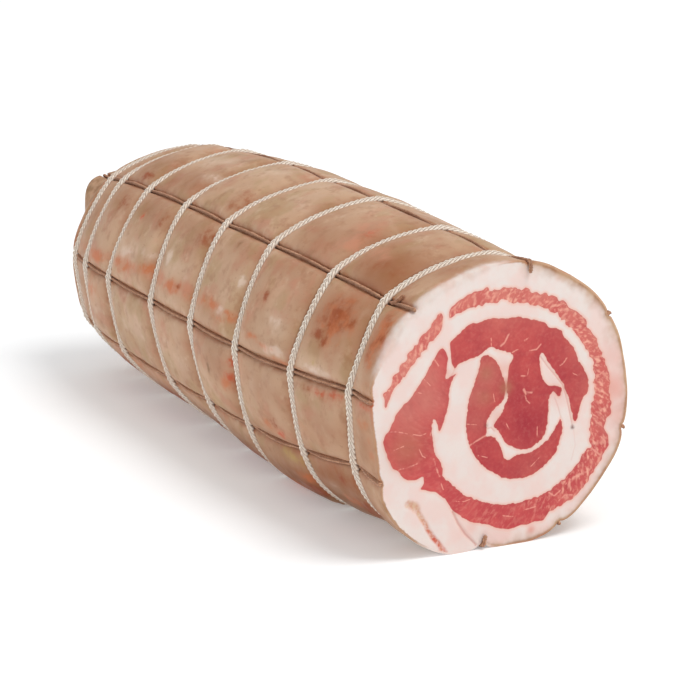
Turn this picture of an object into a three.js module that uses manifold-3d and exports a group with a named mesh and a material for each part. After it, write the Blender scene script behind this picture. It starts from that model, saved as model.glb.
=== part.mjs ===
// A rolled pancetta: a slab of pork belly rolled up with its rind outside, tied and cut flat at one end.
// Millimetres. Seen from the front of the cut, X comes towards the eye, Y runs right and Z up.
// The origin is under the middle of the roll, on the surface that it lies on.
import * as THREE from "three";
import { ParametricGeometry } from "three/addons/geometries/ParametricGeometry.js";
import { mergeVertices } from "three/addons/utils/BufferGeometryUtils.js";
import Module from "manifold-3d";

// Driving dimensions of the whole roll
const ROLL_LENGTH = 412;
const CUT_FROM_ORIGIN = 210.5;
const AXIS_HEIGHT = 69;
const TWINE_RADIUS = 1.75;
const STRING_RADIUS = 1.0;
const CLEARANCE = 0.45;
const FLOOR_GAP = 0.1;

// How far the twine runs inside a full circle halfway between two lengthwise strings
const PRESSED_FLAT = 2.6;

// The far end of the roll has sagged sideways and down by this much
const SAG = { y: -1.5, z: -3, from: 230, to: 390 };

// Hoops of twine, from the cut backwards. "behind" is the distance behind the cut, "radius" is from the
// roll's axis to the middle of the twine where it crosses a string, "wander" is how far the hoop strays from
// its own plane at each of the eight strings. At the lower left corner, where the roll's side meets the
// surface it lies on, its own weight presses it out: "corner" is how far the twine runs outside the circle
// there, and "swell" is how far the meat behind the hoop rises above the twine's middle line there.
const HOOPS = [
  { behind: 29, radius: 68.5, corner: 3.4, swell: 1.6, wander: [1, 2, -3, 2, 0, -1, -1, 0] },
  { behind: 80, radius: 72.7, corner: 3.4, swell: 3.4, wander: [-4, 1, 1, 4, 2, 0, -2, -3] },
  { behind: 144, radius: 75.6, corner: 4, swell: 2.2, wander: [-3, 2, -3, 2, 3, 1, -1, -2] },
  { behind: 199, radius: 75.8, corner: 1.2, swell: 1, wander: [-3, 5, -1, -2, 1, 2, 0, -2] },
  { behind: 253, radius: 76.8, corner: -1.4, swell: 1.4, wander: [-3, 5, -2, -4, 0, 2, 2, -1] },
  { behind: 316, radius: 75.3, corner: -2, swell: 1.8, wander: [-2, 0, 1, 2, 2, 1, 0, -2] },
  { behind: 361, radius: 72.6, corner: -2.6, swell: 1.8, wander: [-4, 1, -1, 3, 4, 2, 0, -2] },
  { behind: 388, radius: 68.5, corner: -2.6, swell: 1.4, wander: [-3, -1, 0, 2, 2, 1, 0, -1] },
];
const CORNER_CELL = 3;

// The same numbers at the cut, where no hoop pulls the roll in
const CUT = { behind: 0, radius: 71, corner: 1, swell: 3.2 };
const STATIONS = [CUT, ...HOOPS];

// Lengthwise strings: angle round the roll, in degrees from +Y towards +Z, at the cut, in the middle and at
// the far end. String 0 lies on top and the numbers go round to the left.
const STRINGS = [
  { cut: 79, middle: 85, end: 82 },
  { cut: 132, middle: 132, end: 129 },
  { cut: 171, middle: 175.5, end: 173 },
  { cut: 204, middle: 211, end: 207 },
  { cut: 262, middle: 262, end: 258 },
  { cut: 298, middle: 300, end: 302 },
  { cut: 345, middle: 346, end: 346 },
  { cut: 394, middle: 394, end: 394 },
];
const CELLS = STRINGS.length;

// A string drifts from its first angle to its second by here, and from its second to its third after here
const FIRST_DRIFT_ENDS = 0.3 * ROLL_LENGTH;
const LAST_DRIFT_STARTS = 0.5 * ROLL_LENGTH;

// The meat swells between the strings into pillows, and at the cut each pillow ends in its own rim height
const PILLOW_RISE = [4.2, 4.4, 4.4, 0, 5, 5.6, 4.4, 1.8];
const PILLOW_UNEVEN = 0.6;
const RIM_TO_PILLOW = 0.35;
const LAST_PILLOW = 0.55;
const RIM_RISE = [1.9, 3.3, -0.2, 3.2, 3.1, 3.1, 1.3, 2.2];

// Widths of the grooves that the twine and the strings lie in: flat bottom, and where the pillow begins
const HOOP_BED = 1.9;
const HOOP_FLANK = 4.2;
const STRING_BED = 1.7;
const STRING_FLANK = 3.9;
const FLANK_SHARE = 0.38;

// Behind the rim the skin has one row at this share of the way to the first hoop, and a gap between two
// hoops that is wider than this has two rows on its pillows
const FIRST_ROW = 0.45;
const WIDE_GAP = 35;

// Far end: a low dome with the edge of the rolled slab showing as a spiral ridge, and one folded lump
const END_BULGE = 17;
const END_CURVE = 55;
const END_RINGS = [0.9, 0.76, 0.6, 0.44, 0.28, 0.12];
const SPIRAL_PITCH = 24;
const SPIRAL_RELIEF = 2.2;
const SPIRAL_STARTS = { from: 4, to: 16 };
const RIM_KEPT_EVEN = 0.2;
const LUMP = { y: -46, z: 39, spread: 15, height: 12, keptOffRim: 0.12 };

// The lean layers run back from the cut to here, drawn in a little by the first hoop
const LAYER_STOPS = [
  { behind: 0, scale: 1 },
  { behind: 29, scale: 0.962 },
  { behind: 372, scale: 0.962 },
];

// Lean layers: each is a band round a centre, given as angle in degrees, inner radius and outer radius
const OUTER_START = {
  centre: [0, 0],
  band: [
    [168.5, 61.6, 62.6],
    [162, 59.6, 62.6],
    [153, 56.6, 61.6],
    [144, 55, 60.4],
    [136, 54, 59.6],
    [130, 53.6, 60.8],
    [126.4, 54.4, 60.6],
  ],
};
const SPIRAL = {
  centre: [0, 0],
  band: [
    [122.6, 55.4, 57.6],
    [117, 54.8, 59.4],
    [105, 53, 59.6],
    [98, 52.4, 60],
    [90, 52, 58.3],
    [76, 51, 57],
    [62, 51, 57.7],
    [48, 51, 57.2],
    [36, 51.4, 57.8],
    [24, 52, 58.5],
    [10, 52, 60],
    [-3, 50.6, 60.8],
    [-11, 50.8, 61.6],
    [-16, 51.4, 59.6],
    [-22, 53.2, 64.6],
    [-28, 56, 65],
    [-34, 53.8, 64.4],
    [-46, 53.8, 65],
    [-56, 52.7, 63.2],
    [-63, 51.8, 61.8],
    [-70, 50.8, 63.4],
    [-86, 48.5, 61],
    [-103, 46, 56.8],
    [-118, 44.6, 54],
    [-130, 43.4, 50.6],
    [-141, 43.2, 55.2],
    [-145, 42.8, 50.6],
    [-150, 42, 57],
    [-157, 41, 60],
    [-166, 39.6, 63.2],
    [-173, 37.6, 63.6],
    [-179, 31.6, 59.8],
    [-188, 29.7, 54],
    [-198, 31, 48.2],
    [-209, 34.4, 46.5],
    [-220, 39.4, 46.8],
    [-226.5, 43.4, 45.6],
  ],
};
const ARC = {
  centre: [0, 0],
  band: [
    [140, 33.7, 34.7],
    [136, 34.1, 38.9],
    [130, 33, 44.4],
    [121, 31.5, 46.3],
    [111, 30.2, 45.9],
    [103, 30.8, 45.1],
    [96, 28.5, 44.7],
    [86, 27, 43.6],
    [70, 26.5, 44],
    [60, 28.5, 44.4],
    [52, 32.4, 45.6],
    [44, 32.3, 46.4],
    [32, 32, 46],
    [20, 33, 46],
    [10, 34.5, 48.2],
    [2, 36.3, 47.2],
    [-3, 37.7, 44.4],
    [-10, 39.3, 43.6],
    [-17, 41.6, 42.6],
  ],
};
const HOOK = {
  centre: [8, -2],
  band: [
    [116, 19.4, 29.4],
    [121, 14.4, 32.8],
    [127, 12.6, 33],
    [136, 11, 29.9],
    [148, 11, 27.8],
    [164, 12.4, 27.4],
    [180, 15.6, 27.3],
    [194, 17.6, 28.2],
    [209, 18.6, 29.1],
    [222, 17.2, 30.2],
    [236, 17.4, 31.3],
    [247, 20, 31.8],
    [257, 24.8, 33.6],
    [267, 23.4, 34.3],
    [280, 22.9, 35],
    [298, 23.6, 33.9],
    [314, 24.4, 32.4],
    [329, 24.8, 29.4],
    [341, 24.8, 26.4],
  ],
};

// The tongue of lean that the arc sends into the middle of the roll, as corner points of a smooth outline
const TONGUE = [
  [8, 30],
  [3, 21.5],
  [2.2, 12],
  [2.8, 5],
  [-4.6, -7.6],
  [-1, -13],
  [4, -19.4],
  [13, -23],
  [21, -19.6],
  [25, -12],
  [25.6, 1.6],
  [28.4, 4.8],
  [31.4, 1.8],
  [32.2, 5.8],
  [24.6, 8.6],
  [20.6, 15.6],
  [20.2, 24],
  [16, 31],
];

// The groove that marks where the outer flap of the slab ends, at the lower left of the cut
const FLAP_SEAM = [
  [-50.5, -40.4],
  [-45.6, -42.4],
  [-42.6, -48.6],
  [-37.4, -58],
  [-30.5, -66.5],
];
const SEAM_WIDTH = 1.6;
const SEAM_DEPTH = 3.5;

// Numbers that only set how finely the shapes are faceted
const TWINE_SIDES = 6;
const STRING_SIDES = 5;
const BAND_STEPS = 1.15;
const TONGUE_STEPS = 38;
const SAME_POINT = 1e-3;

const COLOURS = {
  roll: { color: 0xc9a78d, roughness: 0.45 },
  lean: { color: 0xb9484c, roughness: 0.4 },
  outerLean: { color: 0xd4736a, roughness: 0.45 },
  twine: { color: 0xe4d9c8, roughness: 0.9 },
  string: { color: 0x70503a, roughness: 0.9 },
};

const wasm = await Module();
wasm.setup();

const radians = THREE.MathUtils.degToRad;
const mix = THREE.MathUtils.lerp;
const smooth = THREE.MathUtils.smoothstep;

// Distance behind the cut of hoop number i (0 is the cut itself), at a place round the roll that is
// counted in strings: 2.5 is halfway from string 2 to string 3
function hoopBehind(i, around) {
  if (i === 0) return 0;
  const { behind, wander } = HOOPS[i - 1];
  const cell = Math.floor(around) % CELLS;
  const share = smooth(around - Math.floor(around), 0, 1);
  return behind + mix(wander[cell], wander[(cell + 1) % CELLS], share);
}

// One of the stations' numbers at any distance behind the cut
function alongRoll(behind, key) {
  const next = STATIONS.findIndex((station) => station.behind >= behind);
  if (next === 0) return CUT[key];
  if (next < 0) return STATIONS[STATIONS.length - 1][key];
  const before = STATIONS[next - 1];
  const after = STATIONS[next];
  const share = (behind - before.behind) / (after.behind - before.behind);
  return mix(before[key], after[key], share);
}

// Angle in radians of a place round the roll, counted in strings as above
function stringAngle(around, behind) {
  const angleOf = (number) => {
    const { cut, middle, end } = STRINGS[number % CELLS];
    const near = mix(cut, middle, smooth(behind, 0, FIRST_DRIFT_ENDS));
    const turns = Math.floor(number / CELLS);
    return 360 * turns + mix(near, end, smooth(behind, LAST_DRIFT_STARTS, ROLL_LENGTH));
  };
  const cell = Math.floor(around);
  return radians(mix(angleOf(cell), angleOf(cell + 1), around - cell));
}

// The place round the roll that lies a step of so many millimetres to the side of a string
function besideString(number, step, behind) {
  const cell = (step < 0 ? number + CELLS - 1 : number) % CELLS;
  const width = alongRoll(behind, "radius") * (stringAngle(cell + 1, behind) - stringAngle(cell, behind));
  const share = Math.abs(step) / width;
  return step < 0 ? cell + 1 - share : cell + share;
}

// A point of the roll: distance behind the cut, place round it, and height above the twine's middle line.
// Near the surface that the roll lies on, every height is pressed flat at its own level.
function place(behind, around, height) {
  const cell = Math.floor(around);
  const share = around - cell;
  const push = cell === CORNER_CELL ? alongRoll(behind, "corner") : -PRESSED_FLAT;
  const radius = alongRoll(behind, "radius") + push * 4 * share * (1 - share) + height;
  const angle = stringAngle(around, behind);
  const sag = smooth(behind, SAG.from, SAG.to);
  const y = radius * Math.cos(angle) + SAG.y * sag;
  const z = radius * Math.sin(angle) + SAG.z * sag;
  const lowest = -AXIS_HEIGHT + Math.max(0, TWINE_RADIUS + FLOOR_GAP - height);
  return new THREE.Vector3(-behind, y, Math.max(z, lowest));
}

// Depth of the string's bed and of the string's middle below the twine's middle line
const STRING_DEPTH = TWINE_RADIUS + CLEARANCE + STRING_RADIUS;
const STRING_BED_DEPTH = STRING_DEPTH + STRING_RADIUS + CLEARANCE;
const HOOP_BED_DEPTH = TWINE_RADIUS + CLEARANCE;

// Beside a string the hoop's bed dips, because the twine runs straight on there
const BED_DIP = 0.5;

// Between two hoops the bed of a string rises a little with the meat, and the string with it
const STRING_RISE = 1.2;
const STRING_ARCH = 1.08;

// Height of the pillow between hoops i and i + 1 in one cell
function pillowRise(i, cell) {
  if (cell === CORNER_CELL) return STATIONS[i].swell;
  if (i === 0) return mix(RIM_RISE[cell], PILLOW_RISE[cell], RIM_TO_PILLOW);
  const uneven = Math.sin(2.1 * i + 3.7 * cell) * PILLOW_UNEVEN;
  const lastOne = i === HOOPS.length - 1 ? LAST_PILLOW : 1;
  return (PILLOW_RISE[cell] + uneven) * lastOne;
}

// Rows of the skin from the cut to the last hoop: hoop number, share of the way to the next one, a step in
// millimetres, and how much of the pillow's height the row has
function skinRows() {
  const rows = [{ hoop: 0, share: 0, step: 0, rise: 1, rim: true }];
  rows.push({ hoop: 0, share: FIRST_ROW, step: 0, rise: 1 });
  for (let hoop = 1; hoop <= HOOPS.length; hoop += 1) {
    rows.push({ hoop: hoop - 1, share: 1, step: -HOOP_FLANK, rise: FLANK_SHARE });
    rows.push({ hoop, share: 0, step: -HOOP_BED, bed: true });
    rows.push({ hoop, share: 0, step: HOOP_BED, bed: true });
    rows.push({ hoop, share: 0, step: HOOP_FLANK, rise: FLANK_SHARE });
    const toNext = hoop < HOOPS.length ? HOOPS[hoop].behind - HOOPS[hoop - 1].behind : 0;
    const shares = toNext > WIDE_GAP ? [1 / 3, 2 / 3] : [0.5];
    if (hoop < HOOPS.length) {
      shares.forEach((share) => rows.push({ hoop, share, step: 0, rise: 1 }));
    }
  }
  return rows;
}

// Columns of the skin, once round the roll: the string they lie beside with a step in millimetres, or a
// share of the way to the next string, and, as for the rows, how much of the pillow's height they have
function skinColumns() {
  const columns = [];
  for (let cell = 0; cell < CELLS; cell += 1) {
    columns.push({ string: cell, step: STRING_BED, bed: true });
    columns.push({ cell, string: cell, step: STRING_FLANK, rise: FLANK_SHARE, flank: true });
    columns.push({ cell, share: 1 / 3, rise: 1 });
    columns.push({ cell, share: 2 / 3, rise: 1 });
    columns.push({ cell, string: cell + 1, step: -STRING_FLANK, rise: FLANK_SHARE, flank: true });
    columns.push({ string: cell + 1, step: -STRING_BED, bed: true });
  }
  return columns;
}

function rowBehind(row, around) {
  const here = hoopBehind(row.hoop, around);
  if (row.share === 0) return here + row.step;
  return mix(here, hoopBehind(row.hoop + 1, around), row.share) + row.step;
}

function placeOfColumn(column, row) {
  if (column.string === undefined) return column.cell + column.share;
  const roughly = rowBehind(row, column.string % CELLS);
  return besideString(column.string, column.step, roughly);
}

function skinPoint(row, column) {
  const around = placeOfColumn(column, row);
  const behind = rowBehind(row, around);
  if (column.bed) {
    const between = row.step === 0 && !row.rim ? Math.sin(Math.PI * row.share) ** 2 : 0;
    return place(behind, around, STRING_RISE * between - STRING_BED_DEPTH);
  }
  if (row.bed) return place(behind, around, -HOOP_BED_DEPTH - (column.flank ? BED_DIP : 0));
  const rise = row.rim ? RIM_RISE[column.cell] : pillowRise(row.hoop, column.cell);
  return place(behind, around, rise * row.rise * column.rise);
}

// The far end beyond the last hoop: share is 1 at its rim and 0 in the middle
function endPoint(share, column, lift = 0) {
  const rimRow = { hoop: HOOPS.length, share: 0, step: HOOP_FLANK, rise: FLANK_SHARE };
  const rim = skinPoint(rimRow, column);
  const middle = new THREE.Vector3(rim.x, SAG.y, SAG.z);
  const point = middle.clone().lerp(rim, share);
  const fromAxis = Math.hypot(point.y - SAG.y, point.z - SAG.z);
  const angle = Math.atan2(point.z - SAG.z, point.y - SAG.y);
  const turn = (2 * Math.PI * fromAxis) / SPIRAL_PITCH - angle;
  const start = smooth(fromAxis, SPIRAL_STARTS.from, SPIRAL_STARTS.to);
  const ridge = SPIRAL_RELIEF * Math.cos(turn) * start * smooth(1 - share, 0, RIM_KEPT_EVEN);
  point.x -= END_BULGE * Math.sqrt(1 - share * share) + ridge;
  const lumpAway = Math.hypot(point.y - LUMP.y, point.z - LUMP.z) / LUMP.spread;
  const lump = LUMP.height * Math.exp(-lumpAway * lumpAway) * smooth(1 - share, 0, LUMP.keptOffRim);
  const inside = new THREE.Vector3(rim.x + END_CURVE, SAG.y, SAG.z);
  const outward = point.clone().sub(inside).normalize();
  return point.addScaledVector(outward, lump + lift);
}

// Closed skin from a grid of points, with its open edges already brought together in single points
function closedSkin(rows, columns, pointAt) {
  const grid = new ParametricGeometry(
    (across, along, target) => {
      const column = Math.round(across * columns) % columns;
      target.copy(pointAt(Math.round(along * rows), column));
    },
    columns,
    rows,
  );
  grid.deleteAttribute("normal");
  grid.deleteAttribute("uv");
  const merged = mergeVertices(grid, SAME_POINT);
  const kept = [];
  const corners = merged.index.array;
  for (let i = 0; i < corners.length; i += 3) {
    const [a, b, c] = corners.subarray(i, i + 3);
    if (a !== b && b !== c && c !== a) kept.push(a, b, c);
  }
  merged.setIndex(kept);
  return merged;
}

function solidFrom(geometry) {
  const { position } = geometry.attributes;
  const solid = new wasm.Manifold(
    new wasm.Mesh({
      numProp: 3,
      vertProperties: new Float32Array(position.array),
      triVerts: new Uint32Array(geometry.index.array),
    }),
  );
  if (solid.volume() > 0) return solid;
  const flipped = Array.from(geometry.index.array).reverse();
  geometry.setIndex(flipped);
  return solidFrom(geometry);
}

function geometryFrom(solid) {
  const { vertProperties, triVerts } = solid.getMesh();
  const geometry = new THREE.BufferGeometry();
  geometry.setAttribute("position", new THREE.BufferAttribute(vertProperties, 3));
  geometry.setIndex(new THREE.BufferAttribute(triVerts, 1));
  geometry.computeVertexNormals();
  return geometry;
}

// Skin of the roll: the flat cut, the pillows and grooves, and the domed far end
function rollSkin() {
  const rows = skinRows();
  const columns = skinColumns();
  const cutCentre = new THREE.Vector3(0, 0, 0);
  const total = 1 + rows.length + END_RINGS.length;
  return closedSkin(total, columns.length, (row, column) => {
    if (row === 0) return cutCentre;
    if (row <= rows.length) return skinPoint(rows[row - 1], columns[column]);
    if (row < total) return endPoint(END_RINGS[row - rows.length - 1], columns[column]);
    return endPoint(0, columns[0]);
  });
}

// Tube of round section along a list of points; a closed one joins its ends, an open one is capped
function tube(points, radius, sides, closed) {
  const count = points.length;
  const at = (i) => points[closed ? (i + count) % count : Math.min(Math.max(i, 0), count - 1)];
  const ring = (i, side) => {
    const along = at(i + 1).clone().sub(at(i - 1)).normalize();
    const middle = new THREE.Vector3(-ROLL_LENGTH / 2, 0, 0);
    const away = closed ? new THREE.Vector3(1, 0, 0) : at(i).clone().sub(middle);
    const first = away.addScaledVector(along, -away.dot(along)).normalize();
    const second = along.clone().cross(first);
    const angle = (2 * Math.PI * (side + 0.5)) / sides;
    return at(i)
      .clone()
      .addScaledVector(first, radius * Math.cos(angle))
      .addScaledVector(second, radius * Math.sin(angle));
  };
  if (closed) return closedSkin(count, sides, (i, side) => ring(i % count, side));
  return closedSkin(count + 1, sides, (i, side) => {
    if (i === 0) return at(0);
    if (i > count) return at(count - 1);
    return ring(i - 1, side);
  });
}

// One hoop of twine, lying in its groove and passing over every string
function hoopRoute(number) {
  const points = [];
  for (let cell = 0; cell < CELLS; cell += 1) {
    const stops = [
      besideString(cell, STRING_BED, hoopBehind(number, cell)),
      cell + 1 / 3,
      cell + 2 / 3,
      besideString(cell + 1, -STRING_BED, hoopBehind(number, (cell + 1) % CELLS)),
    ];
    stops.forEach((around) => {
      points.push(place(hoopBehind(number, around), around, 0));
    });
  }
  return points;
}

// One side of a string, from the cut back to the far end
function stringSide(number, layer) {
  const points = [place(0, number, -STRING_DEPTH)];
  for (let hoop = 1; hoop <= HOOPS.length; hoop += 1) {
    const here = hoopBehind(hoop, number);
    const before = hoopBehind(hoop - 1, number);
    const halfway = mix(before, here, 0.5);
    points.push(place(halfway, number, -STRING_DEPTH + STRING_ARCH));
    points.push(place(here - HOOP_BED, number, -STRING_DEPTH));
    points.push(place(here + HOOP_BED, number, -STRING_DEPTH));
  }
  // Over the far end it rests on the higher side of its bed
  const overEnd = (share, lift) => {
    const across = [0, -STRING_BED, STRING_BED].map((step) => {
      return endPoint(share, { string: number, step, bed: true }, lift);
    });
    across[0].x = Math.min(...across.map((point) => point.x));
    return across[0];
  };
  const resting = STRING_RADIUS + 2 * CLEARANCE;
  const crossing = layer * (2 * STRING_RADIUS + CLEARANCE);
  const outerRings = END_RINGS.slice(0, -1);
  const middleRing = END_RINGS[END_RINGS.length - 1];
  [1, ...outerRings].forEach((share) => points.push(overEnd(share, resting)));
  points.push(overEnd(middleRing, resting + CLEARANCE + crossing));
  return points;
}

// Two opposite sides are one string that goes over the far end
function stringRoute(layer) {
  const near = stringSide(layer, layer);
  const far = stringSide(layer + CELLS / 2, layer);
  return [...near, ...far.reverse()];
}

// Outline of a band, grown outwards by a margin on every side
function bandOutline({ centre, band }, margin) {
  const stations = band.map(([angle, inner, outer]) => {
    return new THREE.Vector3(angle, inner - margin, outer + margin);
  });
  const first = stations[0];
  const last = stations[stations.length - 1];
  const onward = Math.sign(last.x - first.x);
  const turnFor = (station) => THREE.MathUtils.radToDeg(margin / station.y) * onward;
  first.x -= turnFor(first);
  last.x += turnFor(last);
  const curve = new THREE.CatmullRomCurve3(stations, false, "catmullrom", 0.5);
  const count = Math.round(stations.length * BAND_STEPS);
  const even = Array.from({ length: count + 1 }, (_, i) => curve.getPoint(i / count));
  const edge = (station, radius) =>
    new THREE.Vector2(
      centre[0] + radius * Math.cos(radians(station.x)),
      centre[1] + radius * Math.sin(radians(station.x)),
    );
  const outer = even.map((station) => edge(station, station.z));
  const inner = even.map((station) => edge(station, station.y)).reverse();
  return [...outer, ...inner];
}

// Smooth closed outline through corner points, grown outwards by a margin
function smoothOutline(corners, margin) {
  const through = corners.map(([y, z]) => new THREE.Vector3(y, z, 0));
  const curve = new THREE.CatmullRomCurve3(through, true, "catmullrom", 0.5);
  const turning = THREE.ShapeUtils.area(curve.getPoints(TONGUE_STEPS)) > 0 ? 1 : -1;
  return Array.from({ length: TONGUE_STEPS }, (_, i) => {
    const point = curve.getPoint(i / TONGUE_STEPS);
    const along = curve.getTangent(i / TONGUE_STEPS);
    return new THREE.Vector2(
      point.x + along.y * margin * turning,
      point.y - along.x * margin * turning,
    );
  });
}

// Runs an outline of the cut back into the roll. A pocket has a margin: it starts in front of the cut, so
// that it opens there, and ends deeper than the layer that fills it.
function runBack(outline, margin) {
  const steps = LAYER_STOPS.length - 1;
  const shape = new THREE.Shape(outline);
  const slab = new THREE.ExtrudeGeometry(shape, { depth: steps, steps, bevelEnabled: false });
  slab.deleteAttribute("normal");
  slab.deleteAttribute("uv");
  const { position } = slab.attributes;
  for (let i = 0; i < position.count; i += 1) {
    const stop = Math.round(position.getZ(i));
    const { behind, scale } = LAYER_STOPS[stop];
    const past = { 0: -margin, [steps]: margin }[stop] ?? 0;
    position.setXYZ(i, -behind - past, position.getX(i) * scale, position.getY(i) * scale);
  }
  return solidFrom(mergeVertices(slab, SAME_POINT));
}

function leanSolids(margin) {
  const run = (outline) => runBack(outline, margin);
  return {
    outer_lean_start: run(bandOutline(OUTER_START, margin)),
    outer_lean_spiral: run(bandOutline(SPIRAL, margin)),
    inner_lean_arc: run(bandOutline(ARC, margin)).add(run(smoothOutline(TONGUE, margin))),
    inner_lean_hook: run(bandOutline(HOOK, margin)),
  };
}

function seamGroove() {
  const points = FLAP_SEAM.map(([y, z]) => new THREE.Vector3(0, y, z));
  const groove = tube(points, SEAM_WIDTH, TWINE_SIDES, false);
  groove.scale(SEAM_DEPTH / SEAM_WIDTH, 1, 1);
  return solidFrom(groove);
}

function addPiece(group, name, geometry, look) {
  const material = new THREE.MeshStandardMaterial({ ...look, metalness: 0 });
  const mesh = new THREE.Mesh(geometry, material);
  mesh.name = name;
  group.add(mesh);
}

// The roll's own frame has its origin in the middle of the cut
const roll = new THREE.Group();
roll.position.set(CUT_FROM_ORIGIN, 0, AXIS_HEIGHT);

let belly = solidFrom(rollSkin()).subtract(seamGroove());
Object.values(leanSolids(CLEARANCE)).forEach((pocket) => {
  belly = belly.subtract(pocket);
});
addPiece(roll, "belly_roll", geometryFrom(belly), COLOURS.roll);

Object.entries(leanSolids(0)).forEach(([name, solid]) => {
  const look = name.startsWith("outer") ? COLOURS.outerLean : COLOURS.lean;
  addPiece(roll, name, geometryFrom(solid), look);
});

HOOPS.forEach((_, i) => {
  const geometry = tube(hoopRoute(i + 1), TWINE_RADIUS, TWINE_SIDES, true);
  addPiece(roll, `twine_hoop_${i + 1}`, geometryFrom(solidFrom(geometry)), COLOURS.twine);
});

for (let layer = 0; layer < CELLS / 2; layer += 1) {
  const geometry = tube(stringRoute(layer), STRING_RADIUS, STRING_SIDES, false);
  addPiece(roll, `long_string_${layer + 1}`, geometryFrom(solidFrom(geometry)), COLOURS.string);
}

const pancetta = new THREE.Group();
pancetta.add(roll);

export default pancetta;
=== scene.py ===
import itertools
import math

import bpy
import numpy as np
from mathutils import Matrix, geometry


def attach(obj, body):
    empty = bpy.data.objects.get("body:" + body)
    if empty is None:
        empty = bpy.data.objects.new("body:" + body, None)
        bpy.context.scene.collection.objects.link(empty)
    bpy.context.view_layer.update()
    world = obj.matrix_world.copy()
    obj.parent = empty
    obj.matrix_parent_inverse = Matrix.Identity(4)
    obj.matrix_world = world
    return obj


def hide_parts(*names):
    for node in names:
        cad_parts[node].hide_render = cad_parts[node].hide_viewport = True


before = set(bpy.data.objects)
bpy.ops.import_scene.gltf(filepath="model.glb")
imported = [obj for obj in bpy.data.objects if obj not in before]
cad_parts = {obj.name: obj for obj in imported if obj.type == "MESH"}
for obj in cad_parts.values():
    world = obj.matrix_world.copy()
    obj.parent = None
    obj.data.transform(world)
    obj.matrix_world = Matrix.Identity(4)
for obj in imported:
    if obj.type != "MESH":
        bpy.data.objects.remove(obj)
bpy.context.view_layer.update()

# A rolled pancetta, tied and cut flat. Sizes are in millimetres in the roll's own frame, whose origin is in
# the middle of the cut: X comes towards the eye, Y runs right and Z up. MM and ORIGIN bring them to metres.
MM = 0.001
CUT_FROM_ORIGIN = 210.5
AXIS_HEIGHT = 69.0
ORIGIN = np.array([CUT_FROM_ORIGIN, 0.0, AXIS_HEIGHT])
ROLL_LENGTH = 412.0
ROLL_MIDDLE = 200.0
TWINE_RADIUS = 1.75
STRING_RADIUS = 1.0
PRESSED_FLAT = 2.6
SAG = {"y": -1.5, "z": -3.0, "from": 230.0, "to": 390.0}

# The cut and the hoops of twine behind it, with the same numbers as the solids: distance behind the cut,
# radius, how far the roll's corner stands out, how high the meat swells there, and how far the hoop strays
# backwards at each string
STATION_KEYS = ("behind", "radius", "corner", "swell", "wander")
STATION_ROWS = [
    (0, 71.0, 1.0, 3.2, [0] * 8),
    (29, 68.5, 3.4, 1.6, [1, 2, -3, 2, 0, -1, -1, 0]),
    (80, 72.7, 3.4, 3.4, [-4, 1, 1, 4, 2, 0, -2, -3]),
    (144, 75.6, 4.0, 2.2, [-3, 2, -3, 2, 3, 1, -1, -2]),
    (199, 75.8, 1.2, 1.0, [-3, 5, -1, -2, 1, 2, 0, -2]),
    (253, 76.8, -1.4, 1.4, [-3, 5, -2, -4, 0, 2, 2, -1]),
    (316, 75.3, -2.0, 1.8, [-2, 0, 1, 2, 2, 1, 0, -2]),
    (361, 72.6, -2.6, 1.8, [-4, 1, -1, 3, 4, 2, 0, -2]),
    (388, 68.5, -2.6, 1.4, [-3, -1, 0, 2, 2, 1, 0, -1]),
]
STATIONS = [dict(zip(STATION_KEYS, row)) for row in STATION_ROWS]
HOOPS = STATIONS[1:]
CORNER_CELL = 3

# Lengthwise strings: angle in degrees at the cut, in the middle and at the far end
STRINGS = [
    (79, 85, 82), (132, 132, 129), (171, 175.5, 173), (204, 211, 207),
    (262, 262, 258), (298, 300, 302), (345, 346, 346), (394, 394, 394),
]
CELLS = len(STRINGS)
# Shares of the length where a string has come to its middle angle, and where it leaves that
STRING_TURNS = (0.3, 0.5)

# How high the meat swells between the ties, how that varies from one hoop or string to the next, and the
# shares of it before the first hoop and behind the last. Then its height at the rim, and the rim's length
PILLOW_RISE = [4.2, 4.4, 4.4, 0.0, 5.0, 5.6, 4.4, 1.8]
PILLOW_UNEVEN = 0.6
PILLOW_WAVES = (2.1, 3.7)
FIRST_PILLOW = 0.35
LAST_PILLOW = 0.55
RIM_RISE = [1.9, 3.3, -0.2, 3.2, 3.1, 3.1, 1.3, 2.2]
RIM_LENGTH = 13.0

# A string's middle lies this far below the twine's where they cross, and higher between two hoops. From the
# cut it stays up for a share of the way to the first hoop
STRING_SUNK = 2.1
STRING_ARCH = 1.9
ARCH_POWER = 1.2
FIRST_ARCH_FALLS = (0.3, 1)

# How the skin is drawn in by the twine and the strings
HOOP_BED = 1.6
HOOP_BED_WIDTH = 1.75
STRING_BEDDED = 0.5
STRING_BED_EDGE = 1.0
STRING_FLANK = 2.0
PILLOW_SOFTNESS = 4.6

# Relief of the skin: amount, size and seed of its noises, and the puckers beside the ties
SKIN_UNEVEN = [(0.55, 24, 1), (0.28, 9, 2), (0.09, 3.6, 3)]
PUCKER_HEIGHT = 0.3
PUCKER_SIZE = 3.4
PUCKER_REACH = 4.0
PUCKER_STARTS = (1, 3)
ALONG_HOOP = (0.3, 1, 1)
ALONG_STRING = (1, 0.3, 0.3)

# Edge round the cut. Stretches of it are given as angles in degrees where they start and end, with the ease
# of both ends where it isn't the usual one. It is worn down more at the upper left, and torn lower down
RIM_BEVEL = 0.8
RIM_WORN = 1.2
WORN_STRETCH = (102, 158)
TORN_SCRAPS = 0.7
TORN_REACH = 1.2
TORN_STRETCHES = [(158, 172, 3), (200, 232, 6)]
SCRAPS = [(1, 2.6, 43), (0.5, 1.2, 44)]
EASE = 8.0

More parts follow.
